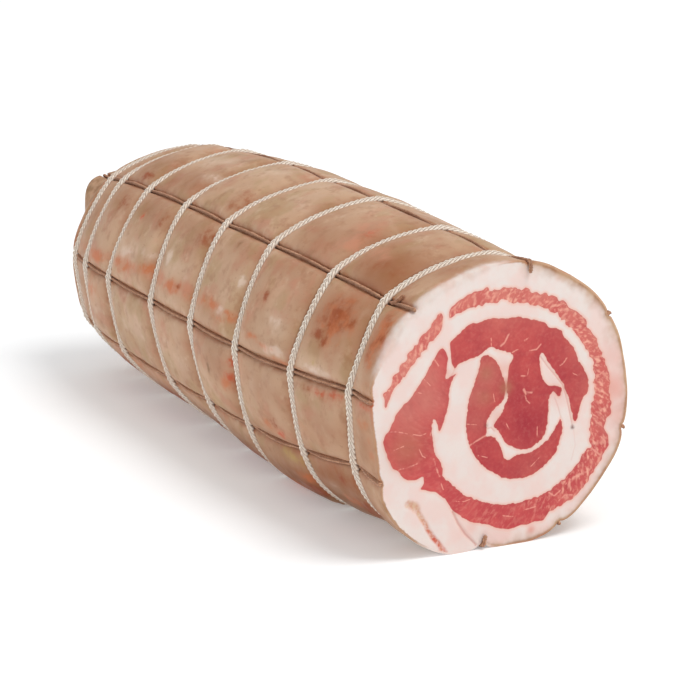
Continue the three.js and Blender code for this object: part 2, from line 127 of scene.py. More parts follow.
# Where the rind fades on the skin, and shows on the cut: stretch, ease, strength and width
SKIN_FADES = [(88, 162, EASE, 0.72, 4.6), (234, 268, EASE, 0.85, 8.0)]
CUT_FADES = [
    (92, 158, EASE, 0.28, 2.6),
    (20, 80, 14, 0.66, 5.5),
    (-20, 80, EASE, 0.38, 4.4),
    (262, 380, EASE, 0.38, 4.4),
]
CUT_EDGES = [(-20, 80, EASE, 0.5, 1.1), (262, 380, EASE, 0.5, 1.1)]
SKIN_STRAY = [(0.35, 9, 45), (0.12, 2.5, 46)]
CUT_STRAY = [(0.4, 9, 41), (0.1, 2.5, 42)]

# Far end
END_BULGE = 17.0
END_CURVE = 55.0
END_UNEVEN = [(0.7, 16, 6), (0.3, 6, 7)]
SPIRAL_PITCH = 24.0
SPIRAL_RELIEF = 2.2
SPIRAL_STARTS = (4, 16)
LUMP = {"y": -46.0, "z": 39.0, "spread": 15.0, "height": 12.0}

# Beside a string the far end is pressed even up to the first distance, and free from the second. Its forms
# come up over these shares of the way in from its rim, and its fat shows over those of the last
END_FREE = (1.0, 8.0)
RIDGE_GROWS = (0, 0.2)
UNEVEN_GROWS = (0, 0.3)
LUMP_GROWS = (0, 0.12)
END_FAT = (0.1, 0.35)

# The lean layers run back from the cut to here: distance behind the cut and scale
LAYER_STOPS = [(0.0, 1.0), (29.0, 0.962), (372.0, 0.962)]

# How finely the shapes are meshed. Steps of the skin beside a hoop or string, and behind the cut
FINE = 1.0
SKIN_STEP = 2.5 * FINE
NEAR = 5.4
NEAR_STEPS = [0.0, 0.5, 1.0, 1.5, 2.1, 2.9, 4.0]
BEVEL_STEPS = [0.0, 0.12, 0.35, 0.7, 1.1, 1.7, 2.6, 3.8]
FACE_STEP = 0.72 * FINE
OUTLINE_STEP = 0.7 * FINE
END_RINGS = 38

# Rows of points beside a line on the cut, their steps, and how near the field's points come to anything
LINE_ROWS = (-0.8, -0.4, 0.0, 0.4, 0.8)
LINE_STEP = 0.42 * FINE
LINE_CLEAR = 1.05
LEAST_STEP = 0.3 * FINE
RIM_CLEAR = 0.45
OUTLINE_CLEAR = 0.32

# Where the stains on the far end are counted from, and how far they go
END_STARTS = 392.0
END_REACH = 60.0
END_OPEN = 5.0
LUMP_STAIN = 0.55
LUMP_STAIN_SPREAD = 1.25

# Distance to a tie or to the lean that is given to places that have none near, how many points are measured
# at once, and the angle in degrees from which an edge looks sharp
FAR_OFF = 20.0
AT_A_TIME = 2000
CREASE = 55.0

# What the noise turns the corners of its lumps and its seed into random numbers by
HASH_CORNER = np.array([127.1, 311.7, 74.7])
HASH_SEED = 17.3
HASH_SPREAD = 43758.5453


def smooth(value, low, high):
    t = np.clip((value - low) / (high - low), 0.0, 1.0)
    return t * t * (3 - 2 * t)


def mix(a, b, share):
    return a + (b - a) * share


def fade(distance, width, power=2):
    """1 at no distance and near nothing beyond a width; a higher power keeps it flat for longer."""
    return np.exp(-((distance / width) ** power))


def noise(points, size, seed):
    """Smooth noise from -1 to 1 with lumps of the given size, at rows of three coordinates."""
    scaled = points / size
    corner = np.floor(scaled)
    inside = scaled - corner
    inside = inside * inside * (3 - 2 * inside)
    total = np.zeros(len(points))
    for step in itertools.product((0, 1), repeat=3):
        weight = np.prod(np.where(step, inside, 1 - inside), axis=1)
        hashed = np.sin((corner + step) @ HASH_CORNER + HASH_SEED * seed) * HASH_SPREAD
        total += weight * (hashed - np.floor(hashed))
    return 2 * total - 1


def noises(points, *layers):
    """Noise of several sizes added up, each given as its amount, size and seed."""
    return sum(amount * noise(points, size, seed) for amount, size, seed in layers)


def on_plane(points):
    """Points of the cut as rows of three coordinates."""
    return np.column_stack([points, np.zeros(len(points))])


def degrees_of(points):
    return np.degrees(np.arctan2(points[:, 1], points[:, 0]))


def unit(vectors):
    return vectors / np.linalg.norm(vectors, axis=1, keepdims=True)


def left_of(along):
    """Directions in the plane of the cut turned a quarter clockwise."""
    return np.stack([along[:, 1], -along[:, 0]], axis=1)


# Shape of the roll

def along_roll(behind, key):
    return np.interp(behind, [s["behind"] for s in STATIONS], [s[key] for s in STATIONS])


def hoop_behind(number, around):
    """Distance behind the cut of a hoop (0 is the cut), at a place round the roll counted in strings."""
    wander = np.array(STATIONS[number]["wander"], float)
    cell = np.floor(around).astype(int)
    share = smooth(around - cell, 0, 1)
    return STATIONS[number]["behind"] + mix(wander[cell % CELLS], wander[(cell + 1) % CELLS], share)


def string_degrees(number, behind):
    cut, middle, end = np.array(STRINGS, float)[number % CELLS].T
    near = mix(cut, middle, smooth(behind, 0, STRING_TURNS[0] * ROLL_LENGTH))
    turned = 360 * (number // CELLS)
    return turned + mix(near, end, smooth(behind, STRING_TURNS[1] * ROLL_LENGTH, ROLL_LENGTH))


def string_angle(around, behind):
    cell = np.floor(around).astype(int)
    degrees = mix(string_degrees(cell, behind), string_degrees(cell + 1, behind), around - cell)
    return np.radians(degrees)


def cell_width(cell, behind):
    degrees = string_degrees(cell + 1, behind) - string_degrees(cell, behind)
    return along_roll(behind, "radius") * np.radians(degrees)


def place(behind, around, height):
    """A point of the roll: distance behind the cut, place round it, height above the twine's middle."""
    cell = np.floor(around).astype(int)
    share = around - cell
    corner = cell % CELLS == CORNER_CELL
    push = np.where(corner, along_roll(behind, "corner"), -PRESSED_FLAT)
    radius = along_roll(behind, "radius") + push * 4 * share * (1 - share) + height
    angle = string_angle(around, behind)
    sag = smooth(behind, SAG["from"], SAG["to"])
    y = radius * np.cos(angle) + SAG["y"] * sag
    z = radius * np.sin(angle) + SAG["z"] * sag
    lowest = -AXIS_HEIGHT + np.maximum(0, TWINE_RADIUS + 0.1 - height)
    return np.stack([-behind, y, np.maximum(z, lowest)], axis=-1)


def pillow_rise(number, cell):
    """How high the meat swells behind a hoop (0 is the cut) beside a string."""
    if cell == CORNER_CELL:
        return STATIONS[number]["swell"]
    if number == 0:
        return mix(RIM_RISE[cell], PILLOW_RISE[cell], FIRST_PILLOW)
    last = LAST_PILLOW if number == len(HOOPS) - 1 else 1.0
    wave = math.sin(PILLOW_WAVES[0] * number + PILLOW_WAVES[1] * cell)
    return (PILLOW_RISE[cell] + PILLOW_UNEVEN * wave) * last


PILLOWS = np.array([[pillow_rise(n, cell) for cell in range(CELLS)] for n in range(len(STATIONS))])


def nearest_ties(behind, around):
    """How many hoops lie before a place, and its distances to the nearest hoop and the nearest string."""
    hoops = np.stack([hoop_behind(n, around) for n in range(1, len(HOOPS) + 1)])
    passed = (hoops <= behind).sum(axis=0)
    cell = np.floor(around).astype(int)
    share = around - cell
    to_string = np.minimum(share, 1 - share) * cell_width(cell, behind)
    return hoops, passed, np.abs(hoops - behind).min(axis=0), to_string


def string_height(behind, around):
    """Height of a lengthwise string's middle, which rises between two hoops and at the cut."""
    hoops, passed, _, _ = nearest_ties(behind, around)
    stops = np.vstack([np.zeros(hoops.shape[1]), hoops, hoops[-1] + 1e6])
    index = np.arange(hoops.shape[1])
    share = (behind - stops[passed, index]) / (stops[passed + 1, index] - stops[passed, index])
    arch = np.sin(np.pi * np.clip(share, 0, 1)) ** ARCH_POWER
    arch = np.where(passed == 0, 1 - smooth(share, *FIRST_ARCH_FALLS), arch)
    return STRING_ARCH * arch - STRING_SUNK


def skin_height(behind, around):
    _, passed, to_hoop, to_string = nearest_ties(behind, around)
    cell = np.floor(around).astype(int) % CELLS
    rise = PILLOWS[passed, cell]
    rim = np.array(RIM_RISE)[cell]
    rise = np.where(passed == 0, mix(rim, rise, smooth(behind, 0, RIM_LENGTH)), rise)
    beside_string = 1 - fade(np.maximum(to_string - TWINE_RADIUS, 0), PILLOW_SOFTNESS, 1)
    beside_hoop = 1 - fade(np.maximum(to_hoop - TWINE_RADIUS, 0), PILLOW_SOFTNESS, 1)
    free = beside_string * beside_hoop
    on_cylinder = place(behind, around, np.zeros(len(behind)))
    height = (rise + noises(on_cylinder, *SKIN_UNEVEN)) * free
    off_ties = smooth(np.minimum(to_hoop, to_string), *PUCKER_STARTS)
    for distance, stretch, seed in ((to_hoop, ALONG_HOOP, 4), (to_string, ALONG_STRING, 5)):
        pucker = noise(on_cylinder * np.array(stretch), PUCKER_SIZE, seed)
        height += PUCKER_HEIGHT * pucker * fade(distance, PUCKER_REACH, 1) * off_ties
    height -= HOOP_BED * fade(to_hoop, HOOP_BED_WIDTH, 4)
    bed = string_height(behind, around) - STRING_BEDDED
    return mix(bed, height, smooth(to_string, STRING_BED_EDGE, STRING_FLANK))


def lines_between(near_before, near_after, count):
    """Shares of a gap with their steps, from the last fine line before it to the first fine one after."""
    shares = np.arange(1, count) / count
    return [(share, mix(near_before, -near_after, share)) for share in shares]


def skin_rows():
    """Rows of the skin as the hoop before, the share of the way to the next one, and a step."""
    rows = [(0, 0.0, step) for step in BEVEL_STEPS]
    fine = [-step for step in [NEAR, *reversed(NEAR_STEPS)]] + NEAR_STEPS[1:] + [NEAR]
    for number in range(len(HOOPS)):
        start = BEVEL_STEPS[-1] if number == 0 else NEAR
        gap = STATIONS[number + 1]["behind"] - STATIONS[number]["behind"] - start - NEAR
        count = max(2, round(gap / SKIN_STEP))
        rows += [(number, share, step) for share, step in lines_between(start, NEAR, count)]
        rows += [(number + 1, 0.0, step) for step in fine]
    return rows[:-1]


def skin_columns():
    """Columns of the skin as the string before, the share of the way to the next one, and a step."""
    columns = []
    for cell in range(CELLS):
        columns += [(cell, 0.0, step) for step in NEAR_STEPS + [NEAR]]
        count = round((float(cell_width(np.array(cell), ROLL_MIDDLE)) - 2 * NEAR) / SKIN_STEP)
        columns += [(cell, share, step) for share, step in lines_between(NEAR, NEAR, count)]
        columns += [(cell, 1.0, -step) for step in [NEAR, *reversed(NEAR_STEPS[1:])]]
    return columns


def skin_places():
    """Distance behind the cut and place round the roll of every point of the skin's grid."""
    rows = skin_rows()
    columns = skin_columns()
    cell = np.array([c[0] for c in columns])
    share = np.array([c[1] for c in columns])
    step = np.array([c[2] for c in columns])
    behind_all = []
    around_all = []
    for number, row_share, row_step in rows:
        roughly = STATIONS[number]["behind"] + row_step
        around = cell + share + step / cell_width(cell, np.full(len(cell), max(roughly, 0.0)))
        around = np.clip(around, 0, CELLS - 1e-9)
        after = min(number + 1, len(HOOPS))
        behind = mix(hoop_behind(number, around), hoop_behind(after, around), row_share) + row_step
        behind_all.append(np.maximum(behind, 0))
        around_all.append(around)
    return np.array(behind_all), np.array(around_all)


def end_surface(share, rim, to_string):
    """The far end beyond the last hoop: share is 1 at the given rim points and 0 in the middle."""
    free = smooth(to_string * share, *END_FREE)
    start = rim[:, 0].mean()
    point = mix(np.array([start, SAG["y"], SAG["z"]]), rim, share)
    right, up = point[:, 1] - SAG["y"], point[:, 2] - SAG["z"]
    from_axis = np.hypot(right, up)
    turn = 2 * np.pi * from_axis / SPIRAL_PITCH - np.arctan2(up, right)
    ridge = SPIRAL_RELIEF * np.cos(turn) * smooth(from_axis, *SPIRAL_STARTS)
    ridge *= smooth(1 - share, *RIDGE_GROWS)
    uneven = noises(point, *END_UNEVEN) * smooth(1 - share, *UNEVEN_GROWS)
    point[:, 0] -= END_BULGE * math.sqrt(max(0.0, 1 - share * share)) + (ridge + uneven) * free
    lump = LUMP["height"] * fade(from_lump(point), LUMP["spread"]) * smooth(1 - share, *LUMP_GROWS)
    outward = unit(point - np.array([start + END_CURVE, SAG["y"], SAG["z"]]))
    return point + outward * lump[:, None], outward


def from_lump(points):
    return np.hypot(points[:, 1] - LUMP["y"], points[:, 2] - LUMP["z"])


# Outlines on the cut, as corner points in millimetres (right, up), seen from the front

LEAN_OUTLINES = {
    "outer_lean_start": [
        (-62, 7.6), (-62.6, 10), (-63.6, 13.2), (-62.2, 16.2), (-59.8, 18.2), (-58.5, 20.4), (-57.6, 23),
        (-55.2, 24.4), (-54.2, 27.4), (-51.8, 28.6), (-51, 31.8), (-49, 33.2), (-47.8, 35.2),
        (-45.8, 36), (-45, 38.4), (-43, 40.6), (-41, 41.2), (-40, 42.6), (-38.4, 44.8), (-36.4, 46.6),
        (-35, 49), (-33.2, 49.6), (-32.4, 48), (-32.6, 44.6), (-33.2, 41.6), (-35.6, 39.2), (-38, 36.8),
        (-39.4, 36.2), (-40.4, 34), (-42.8, 32.6), (-44.4, 31), (-46.4, 28.2), (-49, 25.6), (-51, 24),
        (-53, 20.8), (-55.8, 19), (-57, 16.4), (-59.2, 14), (-60.4, 11.4), (-61.2, 8.6),
    ],
    "outer_lean_spiral": [
        (-29, 50.5), (-26, 54), (-20, 56), (-12, 58.5), (-10, 59.5), (-7, 57.5), (0, 58.5), (8, 57),
        (14, 56), (15, 54.3), (22, 53.5), (27, 51), (33, 48), (38, 43.5), (42, 40.5), (45.5, 37),
        (47, 32.5), (52, 28.5), (53, 24), (55, 20), (57, 15), (59, 10.5), (60, 7), (59, 2), (61, -5),
        (61, -11), (58, -13), (57, -18), (60, -21), (60.5, -25), (58, -30), (54, -35), (50, -41),
        (45, -47), (40, -51.5), (33, -53.5), (28, -55), (24, -59), (15, -60), (5, -61), (0, -60),
        (-12, -55.5), (-17, -54), (-22, -50.5), (-27, -46), (-30, -41), (-34, -37.5), (-38, -36),
        (-44, -34.2), (-41.5, -31.5), (-42, -28), (-46, -29.2), (-51, -28.6), (-54, -26), (-55.5, -23.5),
        (-58.5, -22), (-61, -16), (-63, -11), (-63.5, -8), (-62, -5), (-60, -3.5), (-57, 3), (-53, 8),
        (-50, 10), (-46, 15), (-42, 20), (-39, 25), (-36, 29.5), (-34, 32), (-32, 33), (-30.5, 31),
        (-29.5, 27), (-30, 21), (-31, 17.5), (-27.5, 19), (-24.5, 20.2), (-27, 17), (-28.8, 13),
        (-29, 5), (-30.5, 0), (-32, -5), (-34, -8), (-35, -3), (-36.8, -0.5), (-37.8, -4), (-37, -14),
        (-35.8, -19), (-34, -20), (-32, -25), (-31.5, -30), (-26, -34.5), (-24, -37), (-18, -41.5),
        (-12, -44), (-6, -46.5), (0, -48), (8, -48.5), (18, -47.5), (24, -46), (30, -43.5), (36, -40),
        (40, -36), (44, -31), (47, -27), (50.5, -26), (49, -23.5), (49.5, -12), (50, -6), (51, 0),
        (51, 11), (49.5, 17), (47, 22), (44, 26.5), (41, 31), (37, 34.5), (33, 39), (30, 42), (25, 44.5),
        (20, 47), (10, 50), (5, 50.5), (0, 52), (-6, 52), (-14, 51), (-20, 50), (-29, 46.5),
    ],
    "inner_lean_arc": [
        (-28.5, 35), (-28, 27), (-26, 21.5), (-24.5, 24), (-20, 25.5), (-14, 26.7), (-10, 29),
        (-7, 30.6), (-2, 28.4), (4.4, 26.2), (6, 24), (4.8, 21.8), (3.4, 20.8), (3.2, 18), (3, 15),
        (2.7, 13), (2.5, 10), (2.5, 7), (3.2, 5), (2.6, 3.4), (1.3, 1.8), (0.5, -1.5), (-1.6, -4.3),
        (-4, -7), (-5, -8.8), (-2.5, -10.2), (-0.8, -12.6), (0.8, -15.6), (2.7, -18), (5.3, -19.8),
        (10, -22), (15, -22.4), (20, -20), (23.5, -16.6), (25, -12), (25.5, -5), (25.5, 2), (28, 5),
        (31.6, 1), (33, 6), (29, 7.5), (25, 8), (22, 11), (20.5, 16), (20, 22), (21, 24.6), (23, 23),
        (25, 19), (28, 15.5), (31, 11), (33.4, 8), (35, 4), (37, 0), (38, -5), (40, -12), (41.2, -12.5),
        (43, -7), (44.5, -1), (47, 1), (48, 5), (47, 10), (44, 15), (41.5, 18), (41, 21), (38, 26),
        (34, 30), (32, 34), (29, 35.5), (25, 36), (23, 38.5), (20, 40), (14, 41.5), (8, 43.5), (0, 43.3),
        (-6, 44.3), (-15, 43), (-20, 42), (-23, 39), (-27, 36.8),
    ],
    "inner_lean_hook": [
        (-10.5, 26.6), (-8, 26.8), (-5, 24.8), (-3, 22), (-1.3, 19.4), (-0.3, 16.8), (0.4, 14.4),
        (1.3, 13), (1.5, 10), (1.5, 7), (1.1, 4.6), (-0.8, 2.4), (-3.6, 0.8), (-6.2, -2), (-8, -5),
        (-9, -7), (-7.9, -9.6), (-8, -11), (-9, -12.2), (-8, -13.4), (-6.3, -12.9), (-4.2, -13.8),
        (-2.2, -15.8), (-0.8, -18.6), (0.2, -21.4), (1, -25), (4, -26.6), (8, -24.4), (12, -24.3),
        (17, -24), (22, -21.4), (26, -19), (28, -16), (30.8, -12), (32, -9), (33.5, -11), (33.5, -16),
        (32, -21), (30, -26.5), (25, -31), (20, -34.5), (14, -36.5), (5, -36), (0, -34.5), (-5, -31),
        (-10, -27.5), (-13, -24), (-16, -20), (-17.5, -16), (-19, -11), (-19.5, -6), (-19, 0), (-18, 7),
        (-15, 14), (-13, 20), (-12, 25.6),
    ],
}

# Raggedness of each outline: how far it strays, and the size of the steps. Finer steps come on top, given
# as shares of both. The spiral's outline strays by a power of the strength of its pale lines
RAGGED = {
    "outer_lean_start": (0.6, 1.6),
    "outer_lean_spiral": (0.8, 1.9),
    "inner_lean_arc": (0.32, 1.7),
    "inner_lean_hook": (0.34, 1.7),
}
RAGGED_FINER = (0.4, 0.45)
RAGGED_POWER = 0.4

# The outlines above are eased over their corners: step of the points, and spread of the easing in steps
OUTLINE_FINE = 0.35
OUTLINE_EASED = 2.2

# In the outer lean the bundles of muscle lie at a slant: this much along the band for each step across it
SLANT = 0.5
ACROSS = 0.6
BUNDLE_DEPTH = 0.3
GRAIN_RADIUS = 50.0
GRAIN_STARTS = 128.0

# Pale seams of connective tissue in the lean: half width, then points
VEINS = [
    (0.42, [(-55, -23), (-50, -22.6), (-45.6, -21.4)]), (0.3, [(-61, -4), (-56, -4.4), (-51, -6)]),
    (0.26, [(-47, -7), (-43.6, -8), (-41, -7.4)]), (0.24, [(-57, -13), (-53, -12)]),
    (0.3, [(-44, -15), (-42.6, -18), (-41, -19)]), (0.34, [(-37.4, -3), (-38.4, -8)]),
    (0.45, [(-36.4, -20.4), (-35.4, -24), (-33.4, -29)]), (0.34, [(-32.4, -33), (-31.4, -35.6)]),
    (0.36, [(-37, 28.5), (-34.6, 25)]), (0.3, [(-42, 19), (-39, 16)]), (0.3, [(-45, 13), (-42, 12)]),
    (0.3, [(-24, -43), (-20, -43.6), (-17, -43)]), (0.34, [(2, -54), (7, -55)]),
    (0.34, [(14, -52.6), (19, -52)]), (0.42, [(27, -46), (30, -48), (33, -46)]),
    (0.4, [(33, -50.5), (36, -48.5), (40, -49)]), (0.4, [(36, -43), (41, -40), (45, -39)]),
    (0.5, [(49.5, -26.5), (52, -28), (55.5, -31)]), (0.4, [(56, -22), (58.5, -24.5), (58, -27)]),
    (0.4, [(51, -10), (54, -12)]), (0.4, [(53, 9), (56, 11)]), (0.5, [(-1, 30.4), (0.8, 31.6), (3, 35.4)]),
    (0.3, [(-6.4, 31), (-6.4, 34)]), (0.5, [(12, 31.6), (13.6, 32.4)]),
    (0.4, [(15, 26.2), (18.4, 26.3), (20.8, 28.6)]), (0.4, [(5.6, 26.6), (8, 27.4)]),
    (0.36, [(10, 14.4), (13, 14)]), (0.26, [(13.6, 14.6), (14.2, 17.4)]), (0.7, [(11.8, 7.4), (13, 5.4)]),
    (0.36, [(12.6, 4), (13.4, 2), (15, 0.4)]), (0.5, [(13.4, 6), (16.2, 5.4)]),
    (0.28, [(2.4, -8), (3.8, -10.6)]), (0.26, [(19.6, -12), (19.6, -17)]),
    (0.4, [(32, 17), (33.4, 17.6), (35, 20)]), (0.3, [(39, 12), (41, 11)]),
    (0.46, [(-18, -16.6), (-13, -14.4), (-8.8, -12.6)]), (0.26, [(-4.8, 7.4), (-4.2, 4)]),
    (0.24, [(-19, -5.6), (-14, -6.6)]), (0.22, [(-12, -22), (-8, -23.4)]),
    (0.26, [(17, -31), (21, -27.6)]),
]

# Lines in the fat: half width, colour strength, depth, then points. Their relief is wider than their colour
CRACK_WIDER = 1.4
CRACKS = [
    (0.35, 0.55, 0.25, [(20.6, 22.5), (24.8, 17), (29.6, 11.5), (33.2, 7.2), (35, 2), (37, -5), (39, -13)]),
    (0.3, 0.35, 0.15, [(29, 1), (31, -4), (32.4, -8.5)]),
    # The edge of the outer flap, a fold whose colour is partly painted shade beside it
    (0.6, 0.5, 0.8, [(-26, -48), (-23, -54), (-19, -60), (-14, -65), (-12.5, -67.5)]),
    (0.3, 0.5, 0.2, [(-9, -9.6), (-6, -8.8), (-4.4, -10.6)]),
    (0.3, 0.3, 0.15, [(-30, 14.5), (-27, 20), (-25.5, 23)]),
    (0.25, 0.2, 0.1, [(40, -16), (41, -24), (39, -31)]),
]

# Seam where the outer flap of the slab ends: a wedge at its top, then a narrow band that turns red
FLAP_SEAM = [
    (-50.5, -41), (-47.5, -42), (-45.2, -44.6), (-43.4, -47.6), (-41.2, -51), (-39.2, -55), (-36.6, -59),
    (-34, -62), (-32, -65), (-30, -67.5),
]
FLAP_WEDGE = [(-49.6, -40.6), (-46.6, -42), (-45.6, -43.6)]
SEAM_LINES = [(FLAP_SEAM, 1.3), (FLAP_WEDGE, 2.1)]
SEAM_DEPTH = 0.45
SEAM_TOP = -40.0
SEAM_HEIGHT = 27.0
SEAM_REDDENS = (0.2, 0.75)

# Low relief of the cut: amount, size and seed of its noises, and the steps between lean and fat
CUT_UNEVEN = [(0.16, 14, 21), (0.05, 4, 22)]
LEAN_SUNK = 0.2
FAT_RAISED = 0.05
LEAN_EASE = 1.6
FAT_EASE = 1.5
RIM_EASE = 1.5

# Tints on the cut, by kind: place (right, up), spread and strength
FACE_TINTS = {
    "tan": [
        (-9, 17, 9, 1.0), (-14, 8, 8, 0.9), (-14, -4, 8, 0.6), (16, -33, 9, 0.35), (40, 56, 7, 0.6),
        (50, 46, 8, 0.6),
    ],
    "dusty": [
        (-50, 4, 10, 0.8), (-41, 9, 11, 0.9), (-39, 18, 7, 0.8), (-44, -2, 7, 0.3),
    ],
    "olive": [
        (-9, 6, 4, 0.5), (-9, 18, 3.4, 0.6), (-51, -13, 10, 0.7), (2, 9.5, 3.4, 1.0),
    ],
    "deep": [
        (14, -10, 12, 1.0), (10, 4, 8, 0.85), (38, 12, 9, 0.6), (42, 4, 6, 0.5), (30, 22, 8, 0.3),
        (-8, -24, 8, 0.2), (10, -31, 10, 0.35),
    ],
    "salmon": [
        (0, 56, 16, 0.9), (-20, 54, 10, 0.8), (20, 54, 14, 0.85), (38, 44, 12, 0.75), (50, 28, 13, 0.7),
        (56, 5, 13, 0.55), (57, -15, 12, 0.45), (52, -36, 12, 0.25), (38, -49, 10, 0.15),
        (-50, 28, 12, 1.0), (-38, 44, 10, 0.9), (-60, 14, 9, 0.95),
    ],
    "blush": [
        (17, -63, 2.2, 0.9), (30, 4, 5, 0.5), (2, -65, 9, 0.2), (-16, -57, 4, 0.35), (62, 2, 9, 0.85),
        (64, -10, 9, 0.6), (62, 20, 9, 0.5), (-18, -60, 7, 0.22), (1, 19, 3.6, 0.5), (2.2, 13, 3, 0.6),
        (-3, -3, 4, 0.5), (-28.6, 20, 3, 0.5), (60, -26, 9, 0.25), (48, -50, 9, 0.2),
    ],
    "speck": [
        (39.2, -14.8, 0.8, 1.0), (-8.6, -7.6, 1.0, 0.5),
    ],
}

# How far the pale lines between the bundles show in the lean: angle on the cut in degrees, then strength
STREAK_DEGREES = [-180, -150, -110, -75, -62, -40, 128, 129, 180]
STREAK_STRENGTHS = [0.1, 0.1, 0.25, 0.3, 0.7, 1.0, 1.0, 0.1, 0.1]
INNER_STREAKS = 0.08
OUTER_LAYERS = (1, 2)

# Stains on the skin and painted highlights, by kind: distance behind the cut, angle in degrees, half
# length, half width, strength
STAINS = {
    "rust": [
        (55, 146, 13, 11, 0.6), (55, 145, 5, 3.4, 1.0), (41, 146, 4, 4, 0.85), (63, 156, 6, 3.4, 1.0),
        (56, 157, 3, 4, 0.9), (57, 150, 7, 2.4, 0.8), (47, 151, 5, 5, 0.6), (66, 150, 4, 6, 0.55),
        (9, 146, 7, 11, 0.65), (14, 152, 5, 8, 0.5), (14, 138, 7, 6, 0.45), (117, 152, 3.6, 2.8, 1.0),
        (122, 143, 5, 7, 0.3), (159, 137, 9, 4, 0.3), (216, 163.5, 4, 1.6, 0.8), (211, 141, 7, 9, 0.55),
        (208, 140, 3, 4, 0.7), (208, 118, 8, 6, 0.5), (266, 143, 6, 7, 0.6), (331, 140, 9, 9, 0.6),
        (331, 140, 4, 4, 0.75), (332, 125, 9, 2.8, 1.0), (312, 128, 16, 2.6, 0.5), (55, 122, 10, 6, 0.4),
        (40, 120, 8, 9, 0.35), (211, 125, 16, 5, 0.45), (300, 96, 20, 10, 0.3), (18, 100, 12, 14, 0.3),
        (30, 112, 7, 8, 0.35), (130, 118, 12, 8, 0.2), (64, 177.5, 9, 2, 0.6), (30, 190, 12, 10, 0.3),
        (20, 205, 12, 6, 0.5), (146, 191, 4, 3, 0.8), (105.5, 199, 5, 4, 0.85), (49, 214, 6, 4, 0.95),
        # The long strips low on the left, 224 to 232 degrees, here and below are browner skin and partly
        # painted shade
        (32, 213, 12, 4, 0.6), (90, 229, 20, 6, 0.95), (40, 230, 15, 9, 1.0), (52, 210, 8, 4, 0.4),
        (38, 218, 9, 4, 0.45), (190, 232, 44, 10, 0.85), (270, 228, 45, 11, 0.85),
        (345, 224, 40, 11, 0.85), (200, 212, 14, 6, 0.5),
    ],
    "orange": [
        (52, 149, 17, 14, 0.75), (10, 146, 9, 17, 1.0), (8, 165, 6, 4, 0.4), (117, 152, 8, 6, 0.4),
        (121, 168, 8, 1.5, 0.8), (105, 169.4, 12, 1.3, 0.9), (90, 172.5, 9, 1.5, 0.8),
        (128, 160, 5, 10, 0.4), (149, 165, 7, 3, 1.0), (173, 164, 9, 2.8, 1.0), (160, 168, 16, 3, 0.55),
        (222, 164, 13, 4, 1.0), (258, 163.5, 15, 4, 0.9), (178, 164, 9, 3.4, 0.9), (293, 165, 17, 4, 1.0),
        (336, 167, 12, 3.8, 1.0), (9, 181, 7, 4, 0.6), (4, 190, 5, 12, 0.45), (154, 193, 7, 5, 0.7),
        (110, 203, 12, 5, 0.6), (72, 196, 14, 6, 0.35), (128, 236, 20, 9, 0.9), (93, 222, 9, 4, 0.8),
        (53, 226, 8, 4, 0.9), (300, 214, 60, 6, 0.5), (275, 164, 50, 3.2, 0.5), (196, 165, 40, 3.0, 0.5),
        (345, 166, 40, 3.4, 0.5), (345, 182, 16, 8, 0.6), (3, 118, 4, 14, 0.4),
    ],
    "red": [
        (292, 144, 2.6, 3, 0.95), (88, 109, 4, 5, 0.7), (49, 177, 14, 2.8, 0.6), (38, 176, 8, 3, 0.55),
        (2, 172, 7, 2.8, 0.8), (9, 174, 8, 2.4, 0.7), (144, 183, 5, 3.6, 1.0), (148, 189, 5, 3, 0.85),
        (140, 184, 12, 7, 0.4), (100.5, 204.6, 3.6, 3.2, 1.0),
    ],
    "pink": [
        (100, 146, 14, 10, 0.5), (156, 158, 9, 5, 0.4), (198, 166, 12, 3, 0.6), (87, 117, 14, 8, 0.85),
        (96, 106, 14, 9, 0.6), (63, 116, 11, 8, 0.55), (232, 164.5, 85, 4.4, 0.75),
        (340, 166, 50, 4.6, 0.7), (235, 184, 12, 6, 0.4), (195, 186, 14, 7, 0.5),
    ],
    # The pale kind is no stain but painted highlights and sheen, where the skin's gloss would catch the
    # light
    "pale": [
        (56, 170, 15, 3, 0.9), (97, 169, 12, 2.6, 0.9), (100, 159, 7, 5, 0.75), (151, 151, 3.4, 3, 1.0),
        (162, 165, 6, 2.4, 0.95), (211, 159, 7, 5, 0.4), (239, 156, 5, 8, 0.75), (291, 160, 15, 5, 0.65),
        (260, 115.5, 18, 4.4, 0.6), (284, 103, 20, 6, 0.5), (225, 100, 26, 8, 0.3), (160, 112, 22, 6, 0.3),
        (62, 219, 8, 3, 0.5), (255, 157.5, 50, 3.4, 0.45), (215, 196, 12, 8, 0.3), (270, 190, 14, 9, 0.35),
    ],
    "olive": [
        (172.5, 139, 3, 3, 0.55), (170, 189, 2, 3, 1.0), (118, 214, 8, 4, 0.35),
    ],
    "yellow": [
        (60, 167, 4, 2.4, 0.8), (99, 214, 9, 4, 0.75), (86, 214, 8, 4, 0.7), (175, 205, 10, 8, 0.4),
    ],
}
